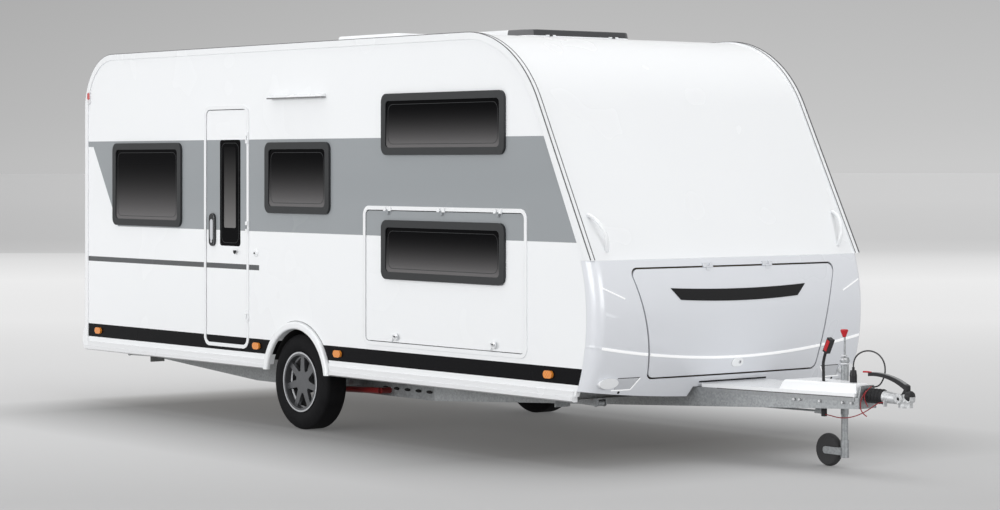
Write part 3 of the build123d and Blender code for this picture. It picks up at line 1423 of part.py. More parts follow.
# Shock absorbers, low between the arms and the deep part of the side rails
damper_radius = 21
damper_reach, damper_lift = 330, 18
damper_y = arm_y - arm_thickness / 2 - damper_radius - seat_gap
damper_low_z = wheel_radius - damper_drop
damper_eye = 26
with BuildPart() as shock_absorbers:
    for side in (right, left):
        start = (wheel_x, -side * damper_y, damper_low_z)
        end = (axle_x + damper_reach, -side * damper_y, damper_low_z + damper_lift)
        with BuildLine() as damper_line:
            Line(start, end)
        with BuildSketch(Plane(origin=start, z_dir=damper_line.line % 0)):
            Circle(damper_radius)
        sweep(path=damper_line.line)
        for eye_x, eye_z, eye_from, eye_to in (
                (start[0], start[2], damper_y, arm_y - arm_thickness / 2),
                (end[0], end[2], rail_y, damper_y)):
            with BuildSketch(Plane.XZ.offset(side * eye_from)):
                with Locations((eye_x, eye_z)):
                    Circle(damper_eye if eye_from == damper_y else damper_radius)
            extrude(amount=side * (eye_to - eye_from))
finish(shock_absorbers, "shock_absorbers")

# Brake rod under the floor, from the overrun lever to the axle
rod_radius = 6
rod_front_setback = 372
rod_front_x, rod_front_z = beam_front_x - rod_front_setback, 352
rod_rear_z = axle_z - axle_half - pivot_gap
with BuildPart() as brake_rod:
    rod_start = (axle_x, -rod_y, rod_rear_z)
    rod_end = (rod_front_x, -rod_y, rod_front_z)
    with BuildLine() as rod_line:
        Line(rod_start, rod_end)
    with BuildSketch(Plane(origin=rod_start, z_dir=rod_line.line % 0)):
        Circle(rod_radius)
    sweep(path=rod_line.line)
    with BuildSketch(Plane.XZ.offset(rod_y - rod_plate)):
        with BuildLine():
            Polyline((rod_front_x - 30, rod_front_z - 14), (rod_front_x + 26, rod_front_z - 14),
                     (rod_front_x + 58, beam_front_low_z), (rod_front_x - 10, beam_front_low_z), close=True)
        make_face()
    extrude(amount=2 * rod_plate)
finish(brake_rod, "brake_rod")

# Corner steadies: a leg that swings down from its lugs, with a foot plate
steady_length = 365
steady_radius = 18
foot_length, foot_width, foot_thickness = 60, 120, 8
steady_places = (("front_right", right, steady_front_x, -1), ("front_left", left, steady_front_x, -1),
                 ("rear_right", right, steady_rear_x, 1), ("rear_left", left, steady_rear_x, 1))
for name, side, place, reach in steady_places:
    with BuildPart() as steady:
        with BuildSketch(Plane.XZ.offset(side * steady_y - steady_half)):
            with BuildLine():
                tip = place + reach * (steady_length - foot_thickness)
                Polyline((place, steady_z - steady_radius), (place, steady_z + steady_radius),
                         (tip, steady_z + steady_radius * 0.6),
                         (tip, steady_z - steady_radius * 0.6), close=True)
            make_face()
            with Locations((place, steady_z)):
                Circle(steady_radius)
                Circle(steady_pin_r + run_fit, mode=Mode.SUBTRACT)
        extrude(amount=2 * steady_half)
        with BuildSketch(Plane.YZ.offset(tip)):
            with Locations((-side * steady_y, steady_z - steady_radius)):
                Rectangle(foot_width, foot_length)
        extrude(amount=reach * foot_thickness)
    finish(steady, "steady_" + name)

# Supply cable with its plug parked on the cover, and the thin breakaway cable
plug_setback = 127
plug_x, plug_y = beam_front_x - plug_setback, 20
plug_low_z = cover_box_top_z
plug_radius, plug_height, plug_neck = 22, 72, 8
cable_radius = 4.5
with BuildPart() as supply_plug:
    with BuildSketch(Plane.XZ.offset(-plug_y)):
        with BuildLine():
            Polyline((plug_x, plug_low_z), (plug_x + plug_radius, plug_low_z),
                     (plug_x + plug_radius, plug_low_z + plug_height * 0.55),
                     (plug_x + plug_radius * 0.8, plug_low_z + plug_height),
                     (plug_x + plug_neck, plug_low_z + plug_height),
                     (plug_x + plug_neck, plug_low_z + plug_height + 4 * cable_radius),
                     (plug_x, plug_low_z + plug_height + 4 * cable_radius), close=True)
        make_face()
    revolve(axis=Axis((plug_x, plug_y, 0), (0, 0, 1)))
finish(supply_plug, "supply_plug")


def cord(points, radius, name):
    """Tube along straight runs joined by the largest arcs that fit."""
    corners = [Vector(*point) for point in points]
    runs = [after - before for before, after in zip(corners, corners[1:])]
    radii = []
    for before, after in zip(runs, runs[1:]):
        turn = radians(before.get_angle(after))
        radii.append(0.45 * min(before.length, after.length) / tan(turn / 2))
    with BuildPart() as tube:
        with BuildLine() as path:
            FilletPolyline(*points, radius=radii)
        route = path.wire()
        with BuildSketch(Plane(origin=points[0], z_dir=route % 0)):
            Circle(radius)
        sweep(path=route)
    print(name, "radii", [round(r) for r in radii], "length", round(route.length),
          "volume share", round(tube.part.volume / (pi * radius ** 2 * route.length), 4))
    finish(tube, name)


cable_route = [
    (3335, 20, 626), (3335, 20, 660), (3362, 24, 702), (3412, 30, 726), (3470, 34, 730), (3528, 37, 712),
    (3568, 39, 670), (3577, 40, 616), (3558, 41, 564), (3518, 41, 518), (3472, 41, 518),
]
breakaway_route = [
    (lever_x + lever_foot_half, -45, 338), (3210, -46, 335), (3262, -52, 329), (3318, -59, 328),
    (3374, -64, 334), (3430, -65, 347), (3482, -62, 366), (3530, -54, 391), (3570, -44, 420),
    (3604, -36, 439), (cable_tab_x, -36, 441),
]
cord(cable_route, cable_radius, "supply_cable")
breakaway_radius = 3
cord(breakaway_route, breakaway_radius, "breakaway_cable")
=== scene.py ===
from math import atan2, cos, degrees, pi, radians, sin

import bmesh
import bpy
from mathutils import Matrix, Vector, geometry
from mathutils.bvhtree import BVHTree


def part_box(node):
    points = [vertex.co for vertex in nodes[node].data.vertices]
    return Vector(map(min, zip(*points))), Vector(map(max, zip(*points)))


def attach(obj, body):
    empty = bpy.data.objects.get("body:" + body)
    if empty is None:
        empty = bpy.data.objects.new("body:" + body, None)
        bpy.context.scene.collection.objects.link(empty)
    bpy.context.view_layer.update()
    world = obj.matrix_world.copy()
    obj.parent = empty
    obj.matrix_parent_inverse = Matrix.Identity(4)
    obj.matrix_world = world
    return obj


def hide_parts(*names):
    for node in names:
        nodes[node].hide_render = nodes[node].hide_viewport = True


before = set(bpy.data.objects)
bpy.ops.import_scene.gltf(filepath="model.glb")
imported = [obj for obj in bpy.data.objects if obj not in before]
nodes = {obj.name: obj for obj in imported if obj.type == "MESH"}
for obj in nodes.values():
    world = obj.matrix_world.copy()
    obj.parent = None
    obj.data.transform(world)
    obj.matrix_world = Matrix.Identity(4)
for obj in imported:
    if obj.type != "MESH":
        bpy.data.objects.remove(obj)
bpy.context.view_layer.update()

scene = bpy.context.scene
show = scene.collection.objects.link
print("stage: caravan frame loaded,", len(nodes), "nodes")

# camera at the photograph's viewing angle
cameraSetup = {"place": (14.630, -11.483, 1.834), "turnDeg": 51.933, "lens": 97.21, "shiftY": -0.0919}
cameraData = bpy.data.cameras.new("photoCamera")
cameraData.sensor_width = 36.0
cameraData.lens = cameraSetup["lens"]
cameraData.shift_y = cameraSetup["shiftY"]
cameraData.clip_end = 500.0
camera = bpy.data.objects.new("photoCamera", cameraData)
camera.location = cameraSetup["place"]
camera.rotation_euler = (radians(90), 0, radians(cameraSetup["turnDeg"]))
show(camera)
scene.camera = camera

van = "caravan_body"
bothSides = ((-1, "Right"), (1, "Left"))

# cords at the hitch: the lead to the towing vehicle and the thin breakaway cable
cordRoutes = {
    "supplyCable": [
        (3.335, 0.020, 0.626), (3.335, 0.020, 0.660), (3.362, 0.024, 0.702), (3.412, 0.030, 0.726),
        (3.470, 0.034, 0.730), (3.528, 0.037, 0.712), (3.568, 0.039, 0.670), (3.577, 0.040, 0.616),
        (3.558, 0.041, 0.564), (3.518, 0.041, 0.518), (3.472, 0.041, 0.518),
    ],
    "breakawayCable": [
        (3.1685, -0.045, 0.338), (3.210, -0.046, 0.335), (3.262, -0.052, 0.329), (3.318, -0.059, 0.328),
        (3.374, -0.064, 0.334), (3.430, -0.065, 0.347), (3.482, -0.062, 0.366), (3.530, -0.054, 0.391),
        (3.570, -0.044, 0.420), (3.604, -0.036, 0.439), (3.642, -0.036, 0.441),
    ],
}


def tubeLine(name, points, depth, fine, thick=1.0):
    data = bpy.data.curves.new(name, "CURVE")
    data.dimensions = "3D"
    data.bevel_depth = depth
    data.bevel_resolution = fine
    data.use_fill_caps = True
    spline = data.splines.new("NURBS")
    spline.points.add(len(points) - 1)
    for point, place in zip(spline.points, points):
        point.co = (*place, 1.0)
        point.radius = thick
    spline.order_u = 3
    spline.use_endpoint_u = True
    obj = bpy.data.objects.new(name, data)
    show(obj)
    return obj


def cordCurve(name, points, radius):
    obj = tubeLine(name, points, 1.0, 4, radius)
    obj.data.resolution_u = 16
    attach(obj, van)
    return obj


supplyCable = cordCurve("supplyCable", cordRoutes["supplyCable"], 0.0045)
breakawayCable = cordCurve("breakawayCable", cordRoutes["breakawayCable"], 0.003)
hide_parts("supply_cable")
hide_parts("breakaway_cable")
bpy.context.view_layer.update()
print("stage: camera and cords")


# shader maths: operators on a socket add their Math nodes
def joining(operation, swapped=False):
    def apply(self, other):
        return self.look.maths(operation, *((other, self) if swapped else (self, other)))
    return apply


class Signal:
    __add__, __radd__ = joining("ADD"), joining("ADD", True)
    __sub__, __rsub__ = joining("SUBTRACT"), joining("SUBTRACT", True)
    __mul__, __rmul__ = joining("MULTIPLY"), joining("MULTIPLY", True)
    __truediv__, __gt__, __lt__ = joining("DIVIDE"), joining("GREATER_THAN"), joining("LESS_THAN")

    def __init__(self, look, socket):
        self.look = look
        self.socket = socket

    def size(self):
        return self.look.maths("ABSOLUTE", self)

    def within(self, low, high):
        return (self > low) * (self < high)

    def power(self, exponent):
        return self.look.maths("POWER", self, exponent)


class Look:
    def __init__(self, name, **constants):
        self.material = bpy.data.materials.new(name)
        self.material.use_nodes = True
        self.tree = self.material.node_tree
        self.shader = next(n for n in self.tree.nodes if n.type == "BSDF_PRINCIPLED")
        for key, value in constants.items():
            self.feed(key, value)

    def node(self, kind, settings=None, inputs=None, out=0):
        made = self.tree.nodes.new(kind)
        for key, value in (settings or {}).items():
            if key == "stops":
                ramp = made.color_ramp
                for place, (where, colour) in enumerate(value):
                    stop = ramp.elements[place] if place < 2 else ramp.elements.new(where)
                    stop.position = where
                    stop.color = (*colour, 1.0)
            else:
                setattr(made, key, value)
        for key, value in (inputs or {}).items():
            if isinstance(value, Signal):
                self.tree.links.new(value.socket, made.inputs[key])
            else:
                made.inputs[key].default_value = value
        return Signal(self, made.outputs[out])

    def maths(self, operation, *terms, clamp=False):
        settings = {"operation": operation, "use_clamp": clamp}
        return self.node("ShaderNodeMath", settings, dict(enumerate(terms)))

    def feed(self, key, value):
        socket = self.shader.inputs[key.replace("_", " ")]
        if isinstance(value, Signal):
            self.tree.links.new(value.socket, socket)
        elif socket.type == "RGBA":
            socket.default_value = (*value, 1.0)
        else:
            socket.default_value = value

    def tint(self, value):
        self.feed("Base_Color", value)

    def place(self, shift=(0, 0, 0), scale=(1, 1, 1)):
        inside = self.node("ShaderNodeTexCoord", out=3)
        self.spot = self.node("ShaderNodeMapping", None, {0: inside, 1: shift, 3: scale})
        return self.spot

    def axes(self, spot):
        parts = self.node("ShaderNodeSeparateXYZ", None, {0: spot})
        return [Signal(self, out) for out in parts.socket.node.outputs]

    def noise(self, scale, detail=3.0, rough=0.55):
        return self.node("ShaderNodeTexNoise", None,
                         {"Vector": self.spot, "Scale": scale, "Detail": detail, "Roughness": rough})

    def cells(self, scale):
        return self.node("ShaderNodeTexVoronoi", None, {"Vector": self.spot, "Scale": scale}, 1)

    def blend(self, mask, under, over, mode="MIX"):
        def paint(value):
            return value if isinstance(value, Signal) else (*value, 1.0)
        return self.node("ShaderNodeMix", {"data_type": "RGBA", "blend_type": mode},
                         {0: mask, 6: paint(under), 7: paint(over)}, out=2)

    def bump(self, height, strength, distance, base=None):
        inputs = {"Height": height, "Strength": strength, "Distance": distance}
        if base:
            inputs["Normal"] = base
        return self.node("ShaderNodeBump", None, inputs)

    def softEdge(self, radius):
        return self.node("ShaderNodeBevel", {"samples": 6}, {"Radius": radius})

    def surface(self, rough, height, strength, distance, edge):
        self.feed("Roughness", rough)
        self.feed("Normal", self.bump(height, strength, distance, self.softEdge(edge)))
        return self.material


# paint and livery: tones, and the heights and ends of the bands on the side
liveryTones = {"white": (0.875, 0.89, 0.905), "grey": (0.315, 0.335, 0.35), "line": (0.10, 0.105, 0.11),
               "black": (0.005, 0.005, 0.006), "darkerLow": (0.72, 0.73, 0.73), "pane": (0.0015, 0.0015, 0.002)}
livery = {"band": (1.355, 2.0), "frontSlope": -0.4876, "frontFoot": 2.8168, "rearSlope": -0.6195,
          "rearFoot": -2.451, "corner": (1.958, -3.757), "line": (1.081, 1.118), "lineEnds": (-3.749, -1.331),
          "strip": (0.50, 0.60), "stripEnds": (-3.749, 2.26)}


def paintFinish(look, peel=0.05):
    broad = look.noise(1.6, 2.0)
    fine = look.noise(240.0, 2.0)
    return look.surface(0.2 + broad * 0.12, fine, peel, 0.001, 0.002)


def sidePaint(name):
    look = Look(name, Coat_Roughness=0.06, Specular_IOR_Level=0.07)
    x, y, z = look.axes(look.place())
    front = x < (z * livery["frontSlope"] + livery["frontFoot"])
    cornerZ, cornerX = livery["corner"]
    lower = (z < cornerZ) * (x > (z * livery["rearSlope"] + livery["rearFoot"]))
    upper = (z > cornerZ) * (x > cornerX)
    band = z.within(*livery["band"]) * front * (lower + upper)
    line = z.within(*livery["line"]) * x.within(*livery["lineEnds"])
    strip = z.within(*livery["strip"]) * x.within(*livery["stripEnds"])
    # patchy darkening of the white that grows towards the bottom of the wall, below z 0.9
    darkerLow = look.noise(2.2, 4.0) * look.maths("MULTIPLY", 0.9 - z, 0.22, clamp=True)
    white = look.blend(darkerLow, liveryTones["white"], liveryTones["darkerLow"])
    colour = look.blend(band, white, liveryTones["grey"])
    colour = look.blend(line, colour, liveryTones["line"])
    colour = look.blend(strip, colour, liveryTones["black"])
    look.tint(colour)
    look.feed("Coat_Weight", 0.35 - strip * 0.35)
    return paintFinish(look)


def whitePaint(name, tone=liveryTones["white"], peel=0.05, glow=0.0):
    # glow: emission for a painted highlight, used for the crest look
    look = Look(name, Coat_Weight=0.3, Coat_Roughness=0.08, Emission_Strength=1.0,
                Emission_Color=(glow, glow, glow))
    look.place()
    shade = look.noise(1.3, 4.0)
    look.tint(look.blend(shade, tone, [part * 0.975 for part in tone]))
    return paintFinish(look, peel)


# nose: the crest line is a parabola over y, at z = crestZ in the middle
noseSizes = {"crestZ": 0.636, "crestRise": 0.091, "crestHalf": 1.083, "crestEdgeZ": 0.677,
             "crestWidth": 0.020, "crestProud": 0.004}


def crestHeight(y):
    return noseSizes["crestZ"] + (y / noseSizes["crestHalf"]) ** 2 * noseSizes["crestRise"]


def nosePaint(name):
    look = Look(name, Metallic=0.04, Coat_Weight=0.4, Coat_Roughness=0.07)
    x, y, z = look.axes(look.place())
    flake = look.noise(900.0, 1.0)
    # painted shade: the nose tone is darker towards the bottom
    paintedLowShade = look.maths("ADD", (z - 0.75) / 0.9, 0.5, clamp=True)
    tone = look.blend(paintedLowShade, (0.69, 0.71, 0.75), (0.75, 0.77, 0.81))
    look.tint(look.blend(flake * 0.2, tone, (0.82, 0.84, 0.87)))
    crest = (y / noseSizes["crestHalf"]).power(2.0) * noseSizes["crestRise"] + noseSizes["crestZ"]
    ridge = 1 - look.maths("MINIMUM", (z - crest).size() / 0.012, 1.0)
    return look.surface(0.24 + look.noise(2.0, 2.0) * 0.1,
                        ridge + look.noise(240.0, 2.0) * 0.02, 0.5, 0.004, 0.003)


# mouldings, glass, lamps
def moulded(name, tone, rough=0.45, grain=0.12, edge=0.0015, coat=0.0, gloss=0.3):
    look = Look(name, Coat_Weight=coat, Specular_IOR_Level=gloss)
    look.place()
    broad = look.noise(14.0, 3.0)
    fine = look.noise(700.0, 2.0)
    look.tint(look.blend(broad, tone, [part * 0.86 for part in tone]))
    return look.surface(rough - 0.05 + broad * 0.1, fine, grain, 0.0006, edge)


# low x, high x, low z and high z of each pane, read from the frame below
paneBoxes = []
doorGlass = {"low": 1.373, "inset": 0.060, "above": 0.05, "corner": 0.012}


def glazing(name):
    look = Look(name, Specular_IOR_Level=0.03)
    x, y, z = look.axes(look.place())
    # painted reflection: each of the first four panes grows lighter towards its bottom, over the dark tint
    glow = None
    for lowX, highX, lowZ, highZ in paneBoxes[:4]:
        inside = x.within(lowX, highX) * z.within(lowZ, highZ)
        rise = (highZ - z) / (highZ - lowZ)
        part = inside * rise.power(2.7)
        glow = part if glow is None else glow + part
    look.tint(look.blend(glow, liveryTones["pane"], (0.168, 0.163, 0.165)))
    look.feed("Roughness", 0.06 + look.noise(5.0, 3.0) * 0.05)
    return look.material


def doorPane(name):
    look = Look(name, Specular_IOR_Level=0.03)
    look.place()
    # painted reflection: the door glass grows lighter towards its bottom
    lowZ, highZ = doorGlass["low"], paneBoxes[4][3]
    rise = look.maths("DIVIDE", highZ - look.axes(look.spot)[2], highZ - lowZ, clamp=True)
    look.tint(look.blend(rise.power(1.6), liveryTones["pane"], (0.185, 0.18, 0.178)))
    look.feed("Roughness", 0.08 + look.noise(5.0, 3.0) * 0.05)
    return look.material


# the cover's skirt is coloured as the galvanised beam behind it
coverSkirt = {"level": 0.461}


def coverPaint(name):
    look = Look(name, Coat_Weight=0.2, Coat_Roughness=0.08)
    look.place()
    steel = look.axes(look.spot)[2] < coverSkirt["level"]
    cloud = look.noise(60.0, 3.0)
    galvanised = look.blend(cloud, (0.24, 0.25, 0.255), (0.38, 0.39, 0.40))
    look.tint(look.blend(steel, liveryTones["white"], galvanised))
    look.feed("Metallic", steel * 0.5)
    look.feed("Roughness", 0.24 + steel * 0.2 + cloud * 0.1)
    return look.material


def lampHousingShadowLine(name):
    look = Look(name, Coat_Weight=0.2, Coat_Roughness=0.08)
    look.place()
    # the bottom 9 mm are dark grey, a painted shadow line under the lamp
    under = look.axes(look.spot)[2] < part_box("awning_lamp")[0][2] + 0.009
    cloud = look.noise(3.0, 3.0)
    look.tint(look.blend(under, liveryTones["white"], (0.17, 0.17, 0.175)))
    look.feed("Roughness", 0.22 + cloud * 0.1)
    return look.material


def zinc(name, tone=(0.37, 0.385, 0.395)):
    look = Look(name, Metallic=0.75)
    look.place()
    spangle = look.cells(95.0)
    flakes = look.axes(spangle)[0]
    cloud = look.noise(7.0, 4.0)
    bright = look.blend(flakes, [part * 0.82 for part in tone], [part * 1.22 for part in tone])
    look.tint(look.blend(cloud * 0.5, bright, [part * 0.7 for part in tone]))
    return look.surface(0.38 + flakes * 0.12 + cloud * 0.12,
                        flakes * 0.3 + look.noise(60.0, 3.0), 0.12, 0.002, 0.002)


def rubber(name, tone=(0.022, 0.022, 0.023)):
    look = Look(name)
    look.place()
    broad = look.noise(9.0, 4.0)
    look.tint(look.blend(broad, tone, [part * 1.7 for part in tone]))
    return look.surface(0.62 + broad * 0.15, look.noise(420.0, 3.0), 0.2, 0.0008, 0.002)


tyrePlace = {"x": -0.8502, "z": 0.328, "sidewall": (0.215, 0.268), "ribs": (0.273, 0.292), "bay": 0.45}


def tyreRubber(name):
    look = Look(name, Specular_IOR_Level=0.08)
    x, y, z = look.axes(look.place((-tyrePlace["x"], 0, -tyrePlace["z"])))
    radius = (x * x + z * z).power(0.5)
    turn = look.maths("ARCTAN2", z, x)
    rings = look.maths("SINE", radius * 640.0) * 0.5
    side = radius.within(*tyrePlace["sidewall"])
    ribs = look.maths("SINE", turn * 150.0) * 0.35 * radius.within(*tyrePlace["ribs"])
    grain = look.noise(300.0, 3.0)
    broad = look.noise(11.0, 4.0)
    look.tint(look.blend(broad, (0.006, 0.006, 0.007), (0.014, 0.014, 0.015)))
    return look.surface(0.55 + broad * 0.2, rings * side + ribs + grain * 0.3, 0.5, 0.0012, 0.003)


def lens(name, tone, pitch=260.0):
    look = Look(name, Coat_Weight=0.7, Coat_Roughness=0.04)
    x, y, z = look.axes(look.place())
    ribs = look.maths("SINE", (x + y) * pitch) * look.maths("SINE", z * pitch)
    deep = [part * 0.55 for part in tone]
    look.tint(look.blend(ribs * 0.35 + 0.3, tone, deep))
    return look.surface(0.14 + look.noise(30.0, 2.0) * 0.06, ribs, 0.35, 0.001, 0.002)


def rearLens(name):
    look = Look(name, Coat_Weight=0.7, Coat_Roughness=0.04)
    x, y, z = look.axes(look.place())
    ribs = look.maths("SINE", z * 420.0)
    colour = look.blend(z.within(0.70, 0.82), (0.50, 0.015, 0.015), (0.80, 0.26, 0.03))
    colour = look.blend(z.within(0.82, 0.90), colour, (0.72, 0.72, 0.74))
    look.tint(look.blend(ribs * 0.12 + 0.12, colour, (0.04, 0.01, 0.01)))
    return look.surface(0.14 + look.noise(30.0, 2.0) * 0.06, ribs, 0.3, 0.001, 0.002)


def smokedDomeLitSide(name):
    look = Look(name, Coat_Weight=0.4, Coat_Roughness=0.06)
    x, y, z = look.axes(look.place())
    side = look.axes(look.node("ShaderNodeNewGeometry", out=1))[1]
    # faces turned to -y are a lighter grey than the other dark faces, painted light on the lit side; behind x
    # 0.62 the lid is white
    tone = look.blend((side < -0.4) * x.within(0.62, 1.3), (0.035, 0.037, 0.04), (0.12, 0.122, 0.126))
    look.tint(look.blend(x < 0.62, tone, (0.80, 0.81, 0.82)))
    return look.surface(0.2 + look.noise(12.0, 3.0) * 0.1,
                        look.noise(300.0, 2.0), 0.05, 0.0006, 0.003)


def alloy(name):
    look = Look(name, Metallic=0.55, Coat_Weight=0.3, Coat_Roughness=0.1)
    x, y, z = look.axes(look.place((-tyrePlace["x"], 0, -tyrePlace["z"])))
    radius = (x * x + z * z).power(0.5)
    facing = look.axes(look.node("ShaderNodeNewGeometry", out=1))[1].size()
    bright = facing.within(0.35, 0.93) * radius.within(0.03, 0.2)
    lip = radius.within(0.196, 0.206)
    cloud = look.noise(20.0, 3.0)
    colour = look.blend(cloud, (0.105, 0.108, 0.115), (0.14, 0.143, 0.15))
    colour = look.blend(look.maths("MINIMUM", bright + lip, 1.0), colour, (0.58, 0.59, 0.61))
    look.tint(colour)
    return look.surface(0.3 + cloud * 0.12, look.noise(500.0, 2.0), 0.08, 0.0006, 0.002)


def plywood(name):
    look = Look(name)
    look.place(scale=(1.5, 22.0, 22.0))
    grain = look.noise(4.0, 6.0, 0.65)
    x, y, z = look.axes(look.place())
    bay = x.within(tyrePlace["x"] - tyrePlace["bay"], tyrePlace["x"] + tyrePlace["bay"]) * (y.size() > 0.75)
    board = look.blend(grain, (0.34, 0.24, 0.14), (0.52, 0.40, 0.26))
    look.tint(look.blend(bay, board, (0.012, 0.012, 0.012)))
    look.feed("Roughness", 0.55 + grain * 0.2)
    look.feed("Normal", look.bump(grain, 0.2, 0.002))
    return look.material


def grip(name, tone):
    return moulded(name, tone, rough=0.4, grain=0.15, edge=0.002, coat=0.2)


# boxes of the glass
for lowX, highX, lowZ, highZ in ((-3.6, -2.3, 1.2, 2.2), (-1.6, -0.4, 1.2, 2.2), (-0.2, 1.9, 1.7, 2.5)):
    corners = [v.co for v in nodes["window_panes"].data.vertices
               if v.co.y < 0 and lowX < v.co.x < highX and lowZ < v.co.z < highZ]
    if corners:
        paneBoxes.append((min(c.x for c in corners), max(c.x for c in corners),
                          min(c.z for c in corners), max(c.z for c in corners)))
for node in ("bunk_hatch_pane", "door_window"):
    low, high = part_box(node)
    paneBoxes.append((low[0], high[0], low[2], high[2]))

looks = {
    "side": sidePaint("sidePaint"), "white": whitePaint("mouldingWhite"),
    "grp": whitePaint("roofWhite", peel=0.09), "nose": nosePaint("noseSilverPaint"),
    "trim": moulded("windowTrim", (0.030, 0.032, 0.034), 0.36), "glass": glazing("tintedAcrylicReflection"),
    "zinc": zinc("galvanisedSteel"), "sill": whitePaint("sillPaint", (0.80, 0.81, 0.825)),
    "strip": moulded("noseStripBlack", (0.008, 0.008, 0.009), 0.3),
    # painted highlight: a lighter white that glows, for the crest, crease and recess lip ribs
    "crest": whitePaint("creaseHighlight", (0.90, 0.91, 0.92), glow=0.22),
    "shade": whitePaint("recessShade", (0.56, 0.575, 0.605)), "silver": zinc("castAlloy", (0.62, 0.63, 0.64)),
    "black": moulded("blackPlastic", (0.02, 0.02, 0.022), 0.42), "rubber": rubber("blackRubber"),
    "tyre": tyreRubber("tyreRubber"), "alloy": alloy("wheelAlloy"), "wood": plywood("plywoodBoard"),
    "amber": lens("amberLens", (0.90, 0.30, 0.04)), "red": lens("redLens", (0.60, 0.02, 0.02), 190.0),
    "clear": lens("clearLens", (0.80, 0.80, 0.82), 190.0), "redPlastic": grip("redGrip", (0.50, 0.012, 0.02)),
    "damper": moulded("damperRed", (0.22, 0.02, 0.02), 0.35, coat=0.4), "cable": rubber("cableSheath"),
    "redCable": grip("redCableSheath", (0.28, 0.02, 0.025)),
    "seal": moulded("greySeal", (0.12, 0.12, 0.125), 0.6),
    "dark": moulded("darkGap", (0.012, 0.012, 0.013), 0.7),
    "chrome": zinc("brightChrome", (0.70, 0.71, 0.73)),
    "leverGrey": moulded("leverGrey", (0.21, 0.215, 0.22), 0.35, coat=0.3),
    "rearLens": rearLens("rearLampLens"), "pane": doorPane("doorPaneReflection"), "cover": coverPaint("coverPaint"),
    "housing": lampHousingShadowLine("lampHousingShadowLine"), "skylight": smokedDomeLitSide("smokedDomeLitSide"),
}
nodeLooks = {
    "cover": ("drawbar_cover",), "housing": ("awning_lamp",),
    "side": ("wall_right", "wall_left", "door_leaf", "bunk_hatch_leaf", "service_hatch"),
    "white": ("wheel_arches", "corner_rails", "opening_frames", "grab_handles",
              "rear_bumper", "fridge_grilles", "vent_lid", "front_lamps"),
    "grp": ("roof", "rear_panel", "front_panel"),
    "nose": ("nose_shell", "locker_lid"),
    "trim": ("window_frames", "bunk_hatch_window_frame", "door_handle"), "strip": ("lid_strip",),
    "glass": ("window_panes", "bunk_hatch_pane", "door_window"), "skylight": ("skylight_lid",),
    "zinc": ("chassis_frame", "drawbar", "axle_tube", "trailing_arms", "brake_rod", "overrun_housing",
             "jockey_tube", "jockey_leg", "jockey_fork", "steady_front_right", "steady_front_left",
             "steady_rear_right", "steady_rear_left"),
    "silver": ("coupling_head",), "sill": ("side_sills",),
    "black": ("bellows", "coupling_lever", "handbrake_lever", "supply_plug"),
    "rubber": ("jockey_wheel", "supply_cable", "breakaway_cable"),
    "damper": ("shock_absorbers",), "amber": ("side_markers",), "rearLens": ("rear_lamps",),
    "tyre": ("tyre_right", "tyre_left"), "alloy": ("rim_right", "rim_left"),
    "wood": ("floor", "locker_bulkhead"),
}
for look, names in nodeLooks.items():
    for name in names:
        mesh = nodes[name].data
        mesh.materials.clear()
        mesh.materials.append(looks[look])
supplyCable.data.materials.append(looks["cable"])
breakawayCable.data.materials.append(looks["redCable"])
print("stage: materials")


# mesh helpers
def finishPiece(obj, body, look, bevel=0.0, smooth=True):
    show(obj)
    obj.data.materials.clear()
    obj.data.materials.append(looks[look])
    if bevel:
        edge = obj.modifiers.new("edge", "BEVEL")
        edge.width = bevel
        edge.segments = 2
        edge.limit_method = "ANGLE"
        edge.angle_limit = radians(35)
    if smooth:
        for face in obj.data.polygons:
            face.use_smooth = True
        if bevel:
            tidy = obj.modifiers.new("shade", "WEIGHTED_NORMAL")
            tidy.keep_sharp = True
    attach(obj, body)
    return obj


def meshPiece(name, verts, faces, body, look, bevel=0.0, smooth=False):
    mesh = bpy.data.meshes.new(name)
    mesh.from_pydata([tuple(v) for v in verts], [], faces)
    shape = bmesh.new()
    shape.from_mesh(mesh)
    bmesh.ops.remove_doubles(shape, verts=shape.verts, dist=1e-6)
    bmesh.ops.recalc_face_normals(shape, faces=shape.faces)
    shape.to_mesh(mesh)
    shape.free()
    return finishPiece(bpy.data.objects.new(name, mesh), body, look, bevel, smooth)


def roundLoop(width, height, corner, steps=8):
    loop = []
    for cx, cy, start in ((1, 1, 0), (-1, 1, 90), (-1, -1, 180), (1, -1, 270)):
        for step in range(steps + 1):
            angle = radians(start + 90 * step / steps)
            loop.append((cx * (width / 2 - corner) + corner * cos(angle),
                         cy * (height / 2 - corner) + corner * sin(angle)))
    return loop


def plate(name, centre, loop, depth, body, look, bevel=0.0, inner=None, across=(1, 0, 0), up=(0, 0, 1)):
    centre, across, up = Vector(centre), Vector(across).normalized(), Vector(up).normalized()
    out = across.cross(up)
    verts, faces, count = [], [], len(loop)

    def ringOf(points, lift):
        start = len(verts)
        verts.extend(centre + across * a + up * b + out * lift for a, b in points)
        return [start + place for place in range(len(points))]

    outer0, outer1 = ringOf(loop, 0), ringOf(loop, depth)
    for place in range(count):
        after = (place + 1) % count
        faces.append((outer0[place], outer0[after], outer1[after], outer1[place]))
    if inner:
        inner0, inner1 = ringOf(inner, 0), ringOf(inner, depth)
        for place in range(count):
            after = (place + 1) % count
            faces.append((inner0[after], inner0[place], inner1[place], inner1[after]))
            faces.append((outer1[place], outer1[after], inner1[after], inner1[place]))
            faces.append((outer0[after], outer0[place], inner0[place], inner0[after]))
    else:
        faces.append(tuple(outer1))
        faces.append(tuple(reversed(outer0)))
    return meshPiece(name, verts, faces, body, look, bevel)


